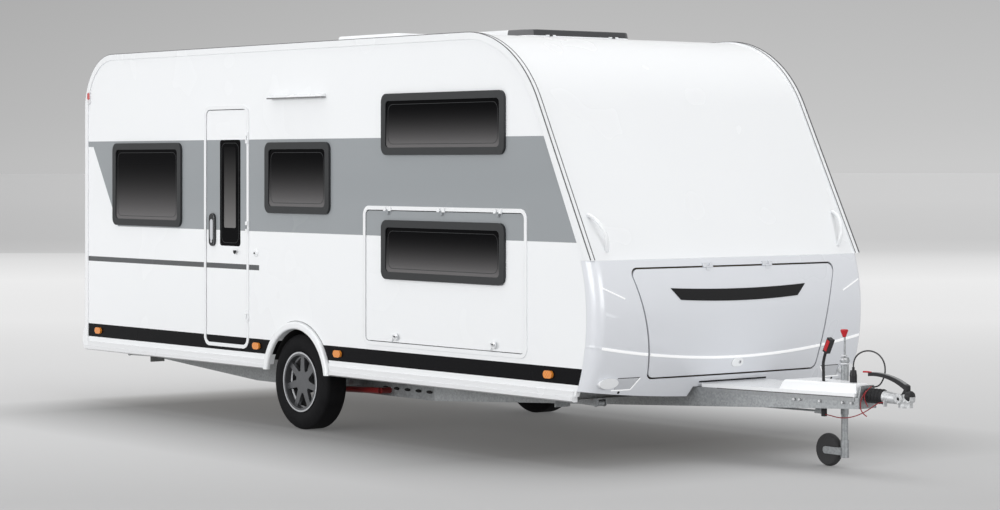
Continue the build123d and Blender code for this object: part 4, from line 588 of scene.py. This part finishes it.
def lathe(name, base, axis, profile, body, look, steps=32):
    turn = Vector(axis).to_track_quat("Z", "Y").to_matrix()
    verts, faces = [], []
    for radius, height in profile:
        for step in range(steps):
            angle = 2 * pi * step / steps
            spot = Vector((radius * cos(angle), radius * sin(angle), height))
            verts.append(Vector(base) + turn @ spot)
    for row in range(len(profile) - 1):
        for step in range(steps):
            after = (step + 1) % steps
            faces.append((row * steps + step, row * steps + after,
                          (row + 1) * steps + after, (row + 1) * steps + step))
    hollow = profile[0] == profile[-1]
    if profile[0][0] > 1e-6 and not hollow:
        faces.append(tuple(reversed(range(steps))))
    if profile[-1][0] > 1e-6 and not hollow:
        faces.append(tuple(range((len(profile) - 1) * steps, len(profile) * steps)))
    piece = meshPiece(name, verts, faces, body, look, 0.0, True)
    piece.data.set_sharp_from_angle(angle=radians(38))
    return piece


# a plain mesh of what a spare object's modifiers or curve give
def fixedCopy(spare, name):
    mesh = bpy.data.meshes.new_from_object(spare.evaluated_get(bpy.context.evaluated_depsgraph_get()))
    bpy.data.objects.remove(spare)
    return bpy.data.objects.new(name, mesh)


def rod(name, points, radius, body, look):
    spare = tubeLine(name + "Line", points, radius, 3)
    return finishPiece(fixedCopy(spare, name), body, look)


# a small head repeated at given points, by Geometry Nodes
def headTree():
    tree = bpy.data.node_groups.new("repeatedHeads", "GeometryNodeTree")
    face = tree.interface
    face.new_socket(name="Geometry", in_out="INPUT", socket_type="NodeSocketGeometry")
    for name, value in (("Radius", 0.004), ("Height", 0.002), ("Top share", 0.7), ("Stretch", 1.0)):
        face.new_socket(name=name, in_out="INPUT", socket_type="NodeSocketFloat").default_value = value
    face.new_socket(name="Sides", in_out="INPUT", socket_type="NodeSocketInt").default_value = 12
    face.new_socket(name="Finish", in_out="INPUT", socket_type="NodeSocketMaterial")
    face.new_socket(name="Geometry", in_out="OUTPUT", socket_type="NodeSocketGeometry")
    add = tree.nodes.new
    given, result = add("NodeGroupInput"), add("NodeGroupOutput")
    cone, top = add("GeometryNodeMeshCone"), add("ShaderNodeMath")
    top.operation = "MULTIPLY"
    facing, heading = add("GeometryNodeInputNamedAttribute"), add("GeometryNodeInputNamedAttribute")
    for attribute, name in ((facing, "facing"), (heading, "heading")):
        attribute.data_type = "FLOAT_VECTOR"
        attribute.inputs["Name"].default_value = name
    turn, swing = add("FunctionNodeAlignRotationToVector"), add("FunctionNodeAlignRotationToVector")
    turn.axis = "Z"
    swing.axis, swing.pivot_axis = "X", "Z"
    reach = add("ShaderNodeCombineXYZ")
    reach.inputs[1].default_value = reach.inputs[2].default_value = 1.0
    copies, whole = add("GeometryNodeInstanceOnPoints"), add("GeometryNodeRealizeInstances")
    coat = add("GeometryNodeSetMaterial")
    for source, outlet, target, inlet in (
            (given, "Radius", top, 0), (given, "Top share", top, 1), (given, "Sides", cone, "Vertices"),
            (top, 0, cone, "Radius Top"), (given, "Radius", cone, "Radius Bottom"),
            (given, "Height", cone, "Depth"), (facing, "Attribute", turn, "Vector"),
            (given, "Geometry", copies, "Points"), (cone, "Mesh", copies, "Instance"),
            (turn, "Rotation", swing, "Rotation"), (heading, "Attribute", swing, "Vector"),
            (swing, "Rotation", copies, "Rotation"), (given, "Stretch", reach, 0),
            (reach, 0, copies, "Scale"), (copies, "Instances", whole, "Geometry"),
            (whole, "Geometry", coat, "Geometry"), (given, "Finish", coat, "Material"),
            (coat, "Geometry", result, "Geometry")):
        tree.links.new(source.outputs[outlet], target.inputs[inlet])
    return tree


heads = headTree()


def repeatHeads(name, spots, facings, body, look, radius, height, sides=12, topShare=0.7, stretch=1.0):
    mesh = bpy.data.meshes.new(name + "Spots")
    mesh.from_pydata([tuple(spot) for spot in spots], [], [])
    for key, vectors in (("facing", facings), ("heading", [(1, 0, 0)] * len(facings))):
        attribute = mesh.attributes.new(key, "FLOAT_VECTOR", "POINT")
        for place, vector in enumerate(vectors):
            attribute.data[place].vector = vector
    spare = bpy.data.objects.new(name + "Spots", mesh)
    show(spare)
    repeat = spare.modifiers.new("heads", "NODES")
    repeat.node_group = heads
    values = {"Radius": radius, "Height": height, "Top share": topShare, "Sides": sides, "Stretch": stretch,
              "Finish": looks[look]}
    for socket in heads.interface.items_tree:
        if socket.in_out == "INPUT" and socket.name in values:
            repeat[socket.identifier] = values[socket.name]
    return finishPiece(fixedCopy(spare, name), body, look, smooth=False)


# thin inner line near the edge of each pane
paneLine = {"inset": 0.022, "width": 0.003, "proud": 0.0010, "corner": 0.05}
paneOwners = [("window_panes", van)] * 3
paneOwners += [("bunk_hatch_pane", "bunk_hatch"), ("door_window", "entrance_door")]
for number, ((lowX, highX, lowZ, highZ), (node, body)) in enumerate(zip(paneBoxes, paneOwners)):
    width, height = highX - lowX - 2 * paneLine["inset"], highZ - lowZ - 2 * paneLine["inset"]
    line = paneLine["width"]
    corner = min(paneLine["corner"], width / 3)
    corners = [nodes[node].matrix_world @ v.co for v in nodes[node].data.vertices]
    depth = min(c.y for c in corners if lowX - 0.01 < c.x < highX + 0.01)
    plate("paneLine%d" % number, ((lowX + highX) / 2, depth, (lowZ + highZ) / 2),
          roundLoop(width, height, corner), paneLine["proud"], body, "trim",
          inner=roundLoop(width - 2 * line, height - 2 * line, corner - line))
print("stage: panes")


# surfaces of the frame that thin pieces lie on
def surfaceOf(*names):
    verts, faces = [], []
    for name in names:
        mesh = nodes[name].data
        start = len(verts)
        verts.extend(nodes[name].matrix_world @ v.co for v in mesh.vertices)
        faces.extend([start + index for index in face.vertices] for face in mesh.polygons)
    return BVHTree.FromPolygons(verts, faces)


noseSkin = surfaceOf("nose_shell", "locker_lid")
lidSkin = surfaceOf("locker_lid")


def onNose(y, z):
    return noseSkin.ray_cast(Vector((4.0, y, z)), Vector((-1, 0, 0)))[:2]


# y of the lid's edge and of the shell's edge beside it
def lidEdge(z, y=0.6, step=0.002):
    while lidSkin.ray_cast(Vector((4.0, y, z)), Vector((-1, 0, 0)))[0]:
        y += step
    inner = y - 2 * step
    while onNose(y, z)[0] is None:
        y += step
    return inner, y + step


def ribProfile(width, proud, sunk=0.002):
    half = width / 2
    slope = (half * 0.8, proud * 0.75)
    return [(-half, -sunk), (-slope[0], slope[1]), (0, proud), slope, (half, -sunk)]


def tubeProfile(radius, steps=8):
    return [(radius * cos(2 * pi * step / steps), radius * sin(2 * pi * step / steps))
            for step in range(steps)]


def sweep(name, spots, normals, profile, body, look):
    verts, faces = [], []
    count, width = len(spots), len(profile)
    for place, (spot, normal) in enumerate(zip(spots, normals)):
        before, after = spots[max(place - 1, 0)], spots[min(place + 1, count - 1)]
        side = (after - before).normalized().cross(normal).normalized()
        verts.extend(spot + side * a + normal * b for a, b in profile)
    for row in range(count - 1):
        for place in range(width):
            beside = (place + 1) % width
            faces.append((row * width + place, row * width + beside,
                          (row + 1) * width + beside, (row + 1) * width + place))
    faces.append(tuple(reversed(range(width))))
    faces.append(tuple(range((count - 1) * width, count * width)))
    piece = meshPiece(name, verts, faces, body, look, 0.0, True)
    piece.data.set_sharp_from_angle(angle=radians(50))
    return piece


def between(low, high, steps):
    return [low + (high - low) * step / steps for step in range(steps + 1)]


def noseRib(name, route, width, proud, body, look):
    hits = [onNose(y, z) for y, z in route]
    return sweep(name, [spot for spot, normal in hits], [normal for spot, normal in hits],
                 ribProfile(width, proud), body, look)


def nosePatch(name, corners, lift, body, look, steps=10):
    verts, faces = [], []
    (y0, z0), (y1, z1), (y2, z2), (y3, z3) = corners
    for depth in (lift, -0.002):
        for row in range(steps + 1):
            for column in range(steps + 1):
                s, t = column / steps, row / steps
                y = (y0 * (1 - s) + y1 * s) * (1 - t) + (y3 * (1 - s) + y2 * s) * t
                z = (z0 * (1 - s) + z1 * s) * (1 - t) + (z3 * (1 - s) + z2 * s) * t
                spot, normal = onNose(y, z)
                verts.append(spot + normal * depth)
    layer, row = (steps + 1) ** 2, steps + 1
    for r in range(steps):
        for c in range(steps):
            a = r * row + c
            faces.append((a, a + 1, a + row + 1, a + row))
            faces.append((layer + a + row, layer + a + row + 1, layer + a + 1, layer + a))
    rim = ([c for c in range(row)] + [r * row + steps for r in range(1, row)]
           + [steps * row + c for c in range(steps - 1, -1, -1)] + [r * row for r in range(steps - 1, 0, -1)])
    for place, a in enumerate(rim):
        b = rim[(place + 1) % len(rim)]
        faces.append((a, layer + a, layer + b, b))
    return meshPiece(name, verts, faces, body, look, 0.0, True)


# nose: crest line, creases and recess lips in a lighter glowing white as a painted highlight, lamp recesses,
# lock, seal
lidHalf, shellHalf = lidEdge(noseSizes["crestEdgeZ"])
recess = {"corners": ((0.94, 0.538), (0.765, 0.538), (0.82, 0.470), (0.94, 0.468)), "lift": 0.0008,
          "shadow": (0.93, 0.765, 0.540), "lip": (0.96, 0.82, 0.467),
          "slope": ((0.815, 0.762), (0.471, 0.536)), "drain": (0.90, 0.452)}
brow = {"y": (1.08, 0.92), "z": (1.088, 1.02), "width": 0.010, "proud": 0.0025}
lidLock = {"z": 0.600, "size": (0.095, 0.054), "depth": 0.010, "barrel": Vector((0, 0.016, 0.004)),
           "slot": (0.004, 0.013)}


def crestRoute(low, high, steps):
    return [(y, crestHeight(y)) for y in between(low, high, steps)]


noseRib("lidCrest", crestRoute(-lidHalf, lidHalf, 48), noseSizes["crestWidth"],
        noseSizes["crestProud"], "front_lid", "crest")
for side, word in bothSides:
    noseRib("noseCrest" + word, crestRoute(side * shellHalf, side * noseSizes["crestHalf"], 14),
            noseSizes["crestWidth"], noseSizes["crestProud"], van, "crest")
    browRoute = zip(between(*brow["y"], 10), between(*brow["z"], 10))
    noseRib("browCrease" + word, [(side * y, z) for y, z in browRoute],
            brow["width"], brow["proud"], van, "crest")
    # lamp recess: a darker sheet on the nose, painted shade
    nosePatch("lampRecess" + word, [(side * y, z) for y, z in recess["corners"]], recess["lift"],
              van, "shade")
    # recess shadow: a grey line along the top of the recess, a painted shadow
    low, high, level = recess["shadow"]
    noseRib("recessShadow" + word, [(side * y, level) for y in between(low, high, 8)], 0.006, 0.0016,
            van, "seal")
    low, high, level = recess["lip"]
    slope = zip(between(*recess["slope"][0], 6), between(*recess["slope"][1], 6))
    noseRib("recessLip" + word, [(side * y, level) for y in between(low, high, 8)]
            + [(side * y, z) for y, z in slope], 0.009, 0.0035, van, "crest")
    spot, normal = onNose(side * recess["drain"][0], recess["drain"][1])
    lathe("drainHole" + word, spot, normal, [(0, 0.0008), (0.006, 0.0012), (0.009, 0.0008), (0.009, -0.002)],
          van, "dark", 20)
spot, normal = onNose(0, lidLock["z"])
upNose = (-normal.z, 0, normal.x)
plate("lidLockBase", spot - normal * 0.002, roundLoop(*lidLock["size"], 0.026, 10), lidLock["depth"],
      "front_lid", "white", 0.003, across=(0, 1, 0), up=upNose)
lathe("lidLockBarrel", spot + normal * 0.007 + lidLock["barrel"], normal,
      [(0.012, 0), (0.012, 0.003), (0.010, 0.004), (0, 0.004)], "front_lid", "chrome", 24)
plate("lidKeySlot", spot + normal * 0.0108 + lidLock["barrel"], roundLoop(*lidLock["slot"], 0.0015, 4),
      0.0012, "front_lid", "dark", across=(0, 1, 0), up=upNose)
noseRib("coverSeal", [(y, 0.490) for y in between(-0.282, 0.282, 24)], 0.011, 0.004, van, "dark")
print("stage: nose")


# seal lines along the roof edge, the outer one also a painted shadow under the roof rail, from the wall's
# outline above a level, and down the rear to a foot
seam = {"level": 1.249, "foot": 0.62, "rear": -3.7, "face": -1.129, "middle": (-0.7, 1.2)}


def wallOutline(y):
    flat = {(round(v.co.x, 4), round(v.co.z, 4)) for v in nodes["wall_right"].data.vertices
            if v.co.y < seam["face"]}
    rear = sorted((point for point in flat if point[0] < seam["rear"]), key=lambda point: point[1])
    foot, shoulder = rear[0], next(point for point in rear if point[1] > seam["level"])
    share = (seam["foot"] - foot[1]) / (shoulder[1] - foot[1])
    flat = [Vector(point) for point in flat if point[1] > seam["level"]]
    flat.append(Vector(foot).lerp(Vector(shoulder), share))
    around = [flat[index] for index in geometry.convex_hull_2d(flat)]
    middleX, middleZ = seam["middle"]
    around.sort(key=lambda p: -(degrees(atan2(p.y - middleZ, p.x - middleX)) % 360))
    route = [Vector((p.x, y, p.y)) for p in around]
    outward = []
    for place in range(len(route)):
        run = route[min(place + 1, len(route) - 1)] - route[max(place - 1, 0)]
        outward.append(Vector((-run.z, 0, run.x)).normalized())
    return route, outward


for side, word in bothSides:
    for line, (y, lift, radius) in {"roofSealShadow": (1.1345, 0.0095, 0.0042),
                                    "railBead": (1.1015, 0.0090, 0.0030)}.items():
        route, outward = wallOutline(side * y)
        route = [spot + normal * lift for spot, normal in zip(route, outward)]
        sweep(line + word, route, [Vector((0, side, 0))] * len(route), tubeProfile(radius), van, "seal")
print("stage: roof seals")

# side wall: latches, door catch, edge markers
latch = {"spots": ((0.3235, 0.698), (1.365, 0.701)), "hookRadius": 0.0034,
         "hook": ((-0.016, -1.156, 0.012), (-0.012, -1.160, 0.002), (0.004, -1.160, -0.006),
                  (0.020, -1.158, -0.002), (0.026, -1.156, 0.008))}
for number, (x, z) in enumerate(latch["spots"]):
    lathe("latchBase%d" % number, (x, -1.145, z), (0, -1, 0),
          [(0.024, 0), (0.024, 0.004), (0.020, 0.007), (0, 0.008)], "bunk_hatch", "white", 28)
    rod("latchHook%d" % number, [(x + along, y, z + rise) for along, y, rise in latch["hook"]],
        latch["hookRadius"], "bunk_hatch", "chrome")
    lathe("latchPin%d" % number, (x, -1.153, z), (0, -1, 0),
          [(0.007, 0), (0.007, 0.006), (0.005, 0.008), (0, 0.008)], "bunk_hatch", "dark", 16)
catch = {"x": -1.367, "z": 1.201}
lathe("doorCatch", (catch["x"], -1.129, catch["z"]), (0, -1, 0),
      [(0.026, 0), (0.026, 0.006), (0.020, 0.010), (0.014, 0.010), (0.012, 0.018), (0, 0.018)],
      van, "white", 28)
lathe("doorCatchPin", (catch["x"], -1.146, catch["z"]), (0, -1, 0), [(0.007, 0), (0.007, 0.003), (0, 0.004)],
      van, "dark", 16)
plate("doorWedge", (-1.619, -1.1458, 1.203),
      [(0.020, 0.012), (-0.020, 0.012), (-0.014, -0.008), (0.004, -0.016)],
      0.006, "entrance_door", "dark", 0.001)
# edge markers: y, z, outline and depth of the lens and of the red part on it
edgeMarker = {"White": (1.1295, 2.335, (0.040, 0.095, 0.016), 0.010, "clear"),
              "Red": (1.138, 2.348, (0.030, 0.052, 0.012), 0.008, "red")}
for side, word in ((-1, ""), (1, "Left")):
    for part, (y, z, outline, depth, look) in edgeMarker.items():
        plate("edgeMarker" + part + word, (-3.722, side * y, z), roundLoop(*outline), depth,
              van, look, 0.003, across=(-side, 0, 0))
print("stage: side wall")


# door: handle dish in the darker recess tone as painted shade, lock and inner glass
doorLow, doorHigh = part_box("door_window")
handleLow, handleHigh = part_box("door_handle")
handleMid = [(low + high) / 2 for low, high in zip(handleLow, handleHigh)]
plate("handleDish", (handleMid[0], -1.1465, handleMid[2]), roundLoop(0.070, 0.232, 0.034, 10), 0.0015,
      "entrance_door", "shade")
lathe("handleLock", (handleMid[0] + 0.004, -1.149, handleLow[2] + 0.034), (0, -1, 0),
      [(0.010, 0), (0.010, 0.003), (0, 0.004)], "entrance_door", "chrome", 20)
# inner door glass, in the painted reflection look
glassTop = doorHigh[2] - doorGlass["above"]
glassMid = ((doorLow[0] + doorHigh[0]) / 2, doorLow[1] - 0.0005, (doorGlass["low"] + glassTop) / 2)
glassWide = doorHigh[0] - doorLow[0] - 2 * doorGlass["inset"]
plate("doorGlassInset", glassMid, roundLoop(glassWide, glassTop - doorGlass["low"], doorGlass["corner"]),
      0.002, "entrance_door", "pane", 0.0005)
print("stage: door")

# wheels: bolts and centre caps
wheelSizes = {"bolts": 5, "boltRing": 0.056, "boltRadius": 0.0085, "boltHeight": 0.010, "hubSunk": 0.040}
for side, word in ((-1, "right"), (1, "left")):
    low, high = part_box("rim_" + word)
    hub = (high[1] if side > 0 else low[1]) - side * wheelSizes["hubSunk"]
    angles = [radians(90 + 360 * step / wheelSizes["bolts"]) for step in range(wheelSizes["bolts"])]
    spots = [(tyrePlace["x"] + wheelSizes["boltRing"] * cos(angle), hub,
              tyrePlace["z"] + wheelSizes["boltRing"] * sin(angle)) for angle in angles]
    repeatHeads("wheelBolts" + word.title(), spots, [(0, side, 0)] * len(spots), "wheel_" + word, "silver",
                wheelSizes["boltRadius"], wheelSizes["boltHeight"], 6, 0.85)
    lathe("hubCap" + word.title(), (tyrePlace["x"], hub - side * 0.004, tyrePlace["z"]), (0, side, 0),
          [(0.033, 0), (0.033, 0.008), (0.030, 0.014), (0.018, 0.018), (0, 0.019)],
          "wheel_" + word, "alloy", 36)
print("stage: wheels")

# chassis: slots in the side member
railSpots = [(x, -0.7035, 0.300) for x in between(-0.40, 0.10, 4)]
repeatHeads("railSlots", railSpots, [(0, -1, 0)] * len(railSpots), van, "dark",
            0.011, 0.003, 16, 0.95, 3.0)
print("stage: chassis")

# jockey post: crank grip, collars (height, radius and thickness of each), and the clamp made further below
post = {"x": 3.113, "y": 0.1685, "clampFoot": 0.405,
        "collars": ((0.622, 0.034, 0.012), (0.646, 0.026, 0.016), (0.672, 0.020, 0.008)),
        "clamp": [(0.0245, 0), (0.030, 0), (0.032, 0.004), (0.032, 0.046), (0.030, 0.050), (0.0245, 0.050),
                  (0.0245, 0)],
        "handle": [(3.128, 0.190, 0.430), (3.150, 0.212, 0.430), (3.176, 0.222, 0.432),
                   (3.206, 0.222, 0.436)]}
lathe("crankGrip", (post["x"], post["y"], 0), (0, 0, 1),
      [(0.006, 0.786), (0.010, 0.788), (0.0235, 0.824), (0.0235, 0.830), (0.018, 0.834), (0, 0.835)],
      van, "redPlastic", 28)
for number, (z, radius, height) in enumerate(post["collars"]):
    lathe("collarRing%d" % number, (post["x"], post["y"], z), (0, 0, 1),
          [(radius * 0.9, 0), (radius, height * 0.25), (radius, height * 0.75), (radius * 0.9, height)],
          van, "chrome")

# coupling: lever face and stem, boss, cap, brake leads
coupling = {
    "bossY": -0.036,
    "boss": [(0.031, 0), (0.031, 0.012), (0.027, 0.016), (0.011, 0.016), (0.009, 0.012), (0, 0.012)],
    "cap": [(0.034, 0), (0.034, 0.020), (0.030, 0.028), (0.020, 0.032), (0, 0.033)],
    "stem": [(3.440, -0.004, 0.606), (3.470, -0.004, 0.609), (3.505, -0.004, 0.606)],
    "lead": [(3.500, -0.040, 0.500), (3.486, -0.060, 0.470), (3.474, -0.066, 0.420), (3.482, -0.064, 0.372),
             (3.520, -0.058, 0.352)],
    "loop": [(3.545, -0.040, 0.530), (3.520, -0.062, 0.505), (3.500, -0.066, 0.455), (3.530, -0.058, 0.410)],
}
hitchSkin = surfaceOf("coupling_lever")
leverFace = [hitchSkin.ray_cast(Vector((x, 0, 1.0)), Vector((0, 0, -1)))[0]
             for x in between(3.535, 3.782, 18)]
sweep("leverFace", leverFace, [Vector((0, 0, 1))] * len(leverFace), ribProfile(0.027, 0.0025),
      van, "leverGrey")
rod("leverStem", coupling["stem"], 0.0055, van, "redPlastic")
lathe("headBoss", (3.761, coupling["bossY"], 0.470), (0, -1, 0), coupling["boss"], van, "silver", 36)
lathe("bossHole", (3.761, coupling["bossY"] - 0.0115, 0.470), (0, -1, 0),
      [(0.009, 0), (0.009, 0.001), (0, 0.0012)], van, "dark", 20)
lathe("headCap", (3.796, 0, 0.484), (1, 0, 0), coupling["cap"], van, "black", 36)
rod("brakeLead", coupling["lead"], 0.0032, van, "redCable")
rod("brakeLeadLoop", coupling["loop"], 0.003, van, "redCable")

# handbrake lever: sleeve and grip, as half width, half depth and distance kept from each end
leverTop = {"foot": Vector((3.174, -0.045, 0.708)), "top": Vector((3.215, -0.045, 0.791)),
            "leverSleeve": (0.0175, 0.0165, 0.0, "black"), "leverGrip": (0.0125, 0.0190, 0.012, "redPlastic")}
leverRun = (leverTop["top"] - leverTop["foot"]).normalized()
for name in ("leverSleeve", "leverGrip"):
    half, deep, reach, look = leverTop[name]
    sweep(name, [leverTop["foot"] + leverRun * reach, leverTop["top"] - leverRun * reach],
          [Vector((0, -1, 0))] * 2, [(-half, -deep), (half, -deep), (half, deep), (-half, deep)], van, look)

# clamp of the jockey post
lathe("jockeyClamp", (post["x"], post["y"], post["clampFoot"]), (0, 0, 1), post["clamp"], van, "zinc")
rod("clampHandle", post["handle"], 0.006, van, "zinc")

# cover edge line and bolts on the beams, found by rays from the side
beamSide = {"lineZ": 0.459, "line": (2.46, 3.43), "boltZ": 0.425, "bolts": (3.02, 3.06, 3.20, 3.36, 3.42),
            "facing": 0.19}
coverSkin = surfaceOf("drawbar_cover", "drawbar")
for side, word in bothSides:
    hits = [coverSkin.ray_cast(Vector((x, side * 1.2, beamSide["lineZ"])), Vector((0, -side, 0)))[0]
            for x in between(*beamSide["line"], 24)]
    hits = [hit for hit in hits if hit]
    sweep("coverEdge" + word, hits, [Vector((0, side, 0))] * len(hits), ribProfile(0.006, 0.002),
          van, "seal")
    bolts = [coverSkin.ray_cast(Vector((x, side * 1.2, beamSide["boltZ"])), Vector((0, -side, 0)))[0]
             for x in beamSide["bolts"]]
    repeatHeads("beamBolts" + word, bolts, [(beamSide["facing"], side, 0)] * len(bolts), van, "silver",
                0.009, 0.014, 6, 0.9)
print("stage: hitch")

# wheel arches, rear and left side
archLine = {"x": -0.8502, "y": 1.1305, "z": 0.340, "radius": 0.408, "width": 0.0035, "proud": 0.0015}
for side, word in bothSides:
    angles = [radians(angle) for angle in between(20, 160, 60)]
    arc = [Vector((archLine["x"] + archLine["radius"] * cos(angle), side * archLine["y"],
                   archLine["z"] + archLine["radius"] * sin(angle))) for angle in angles]
    sweep("archLine" + word, arc, [Vector((0, side, 0))] * len(arc),
          ribProfile(archLine["width"], archLine["proud"]), van, "seal")
    plate("rearTriangle" + word, (-3.7695, side * 0.74, 0.655),
          [(0, 0.075), (-0.075, -0.055), (0.075, -0.055)], 0.008, van, "red", 0.002, across=(0, -1, 0))
grilleLow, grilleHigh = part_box("fridge_grilles")
screwInset, grilleTall = 0.018, 0.231
grilleRows = (grilleLow[2] + screwInset, grilleLow[2] + grilleTall, grilleHigh[2] - grilleTall,
              grilleHigh[2] - screwInset)
grilleSpots = [(x, grilleHigh[1] - 0.0005, z) for x in (grilleLow[0] + screwInset, grilleHigh[0] - screwInset)
               for z in grilleRows]
repeatHeads("grilleScrews", grilleSpots, [(0, 1, 0)] * len(grilleSpots), van, "chrome", 0.005, 0.003)
lathe("serviceLock", (-0.138, 1.1395, 0.640), (0, 1, 0),
      [(0.013, 0), (0.013, 0.003), (0.010, 0.004), (0, 0.004)], "side_service_hatch", "chrome", 24)
print("stage: rear and left side")

# floor, background and light: ramps as pairs of place and tone, the floor's over the distance from the
# camera; the floor's glow and the background's ramps are painted light
stageSetup = {
    "reach": 400.0, "floorTone": (0.42, 0.42, 0.422), "shadeTone": (0.20, 0.20, 0.20), "shadeGlow": 0.5,
    "farFloor": 130.0, "driftFrom": 55.0, "drift": 0.75, "backdropLightRamp": 0.07, "strength": 0.64,
    "floorStops": [(0.0, 0.05), (0.114, 0.05), (0.138, 0.17), (0.175, 0.29), (0.2415, 0.49), (0.3246, 0.545),
                   (0.395, 0.44), (0.44, 0.33), (0.50, 0.295), (1.0, 0.325)],
    "skyStops": [(0.0, 0.592), (0.23, 0.558), (0.55, 0.525), (0.83, 0.495), (1.0, 0.48)],
    "shadeEdges": {"rear": (4.0, 1.1), "front": (3.2, 0.55), "right": (2.6, 0.75), "left": (2.6, 0.8)},
}
turned = radians(cameraSetup["turnDeg"])
viewAhead = Vector((-sin(turned), cos(turned), 0))
viewAside = Vector((viewAhead.y, -viewAhead.x, 0))
cameraFoot = Vector((cameraSetup["place"][0], cameraSetup["place"][1], 0))


def greyRamp(look, place, stops):
    return look.node("ShaderNodeValToRGB", {"stops": [(where, (tone, tone, tone)) for where, tone in stops]},
                     {0: place})


# painted shadow on the floor under and around the caravan: darker tone and less glow there
def shadeUnder(look):
    x, y, z = look.axes(look.place())
    edges = stageSetup["shadeEdges"]
    below = None
    for way, word in ((x, "rear"), (0 - x, "front"), (y, "right"), (0 - y, "left")):
        away, slope = edges[word]
        part = look.maths("MULTIPLY", way + away, slope, clamp=True)
        below = part if below is None else below * part
    return below


def studioFloor():
    look = Look("studioFloor", Roughness=0.85, Specular_IOR_Level=0.2, Emission_Strength=1.0)
    x, y, z = look.axes(look.place(tuple(-part for part in cameraFoot)))
    away = x * viewAhead.x + y * viewAhead.y
    lean = look.maths("MINIMUM", (x * viewAside.x + y * viewAside.y) / away, 0.0)
    # painted light: the floor glows by a ramp over the distance from the camera, dimmed far off to one side
    glow = greyRamp(look, away / stageSetup["farFloor"], stageSetup["floorStops"])
    drift = lean * (away > stageSetup["driftFrom"]) * stageSetup["drift"] * 2
    dim = look.maths("ADD", 1.0, drift, clamp=True)
    below = shadeUnder(look)
    glow = look.blend(below * stageSetup["shadeGlow"], glow, (0, 0, 0))
    look.tint(look.blend(below, stageSetup["floorTone"], stageSetup["shadeTone"]))
    look.feed("Emission_Color", look.blend(1.0, glow, dim, "MULTIPLY"))
    reach = stageSetup["reach"]
    corners = [(-reach, -reach, 0), (reach, -reach, 0), (reach, reach, 0), (-reach, reach, 0)]
    sheet = bpy.data.meshes.new("studioFloor")
    sheet.from_pydata(corners, [], [(0, 1, 2, 3)])
    sheet.materials.append(look.material)
    floor = bpy.data.objects.new("studioFloor", sheet)
    show(floor)


class Sky(Look):
    def __init__(self, name):
        self.world = bpy.data.worlds.new(name)
        self.world.use_nodes = True
        self.tree = self.world.node_tree
        self.shader = self.tree.nodes["Background"]


def studioWorld():
    sky = Sky("studio")
    scene.world = sky.world
    sky.feed("Color", (1, 1, 1))
    sky.feed("Strength", stageSetup["strength"])
    x, y, z = sky.axes(sky.node("ShaderNodeTexCoord"))
    # painted light on the background: a ramp over height, dimmed to one side
    backdropLightRamp = greyRamp(sky, z / stageSetup["backdropLightRamp"], stageSetup["skyStops"])
    lean = x * viewAside.x + y * viewAside.y
    dim = sky.maths("ADD", 1.0, sky.maths("MINIMUM", lean, 0.0) * stageSetup["drift"], clamp=True)
    screen = sky.node("ShaderNodeBackground", None, {0: sky.blend(1.0, backdropLightRamp, dim, "MULTIPLY")})
    seen = sky.node("ShaderNodeLightPath")
    mixed = sky.node("ShaderNodeMixShader", None, {0: seen, 1: Signal(sky, sky.shader.outputs[0]), 2: screen})
    sky.tree.links.new(mixed.socket, sky.tree.nodes["World Output"].inputs["Surface"])


studioFloor()
studioWorld()


def softBox(name, place, target, size, power):
    data = bpy.data.lights.new(name, "AREA")
    data.shape = "RECTANGLE"
    data.size, data.size_y = size
    data.energy = power
    lamp = bpy.data.objects.new(name, data)
    lamp.location = place
    lamp.rotation_euler = (Vector(target) - Vector(place)).to_track_quat("-Z", "Y").to_euler()
    show(lamp)


softBox("sideSoftBox", (-1.0, -13.0, 3.4), (-0.5, -1.0, 1.4), (14, 4), 715)
softBox("frontSoftBox", (14.0, -2.0, 3.6), (2.5, 0, 1.2), (8, 4), 440)
softBox("topSoftBox", (0.0, 0.0, 9.0), (0, 0, 0), (11, 6), 345)
scene.view_settings.view_transform = "Standard"

print("stage: done")
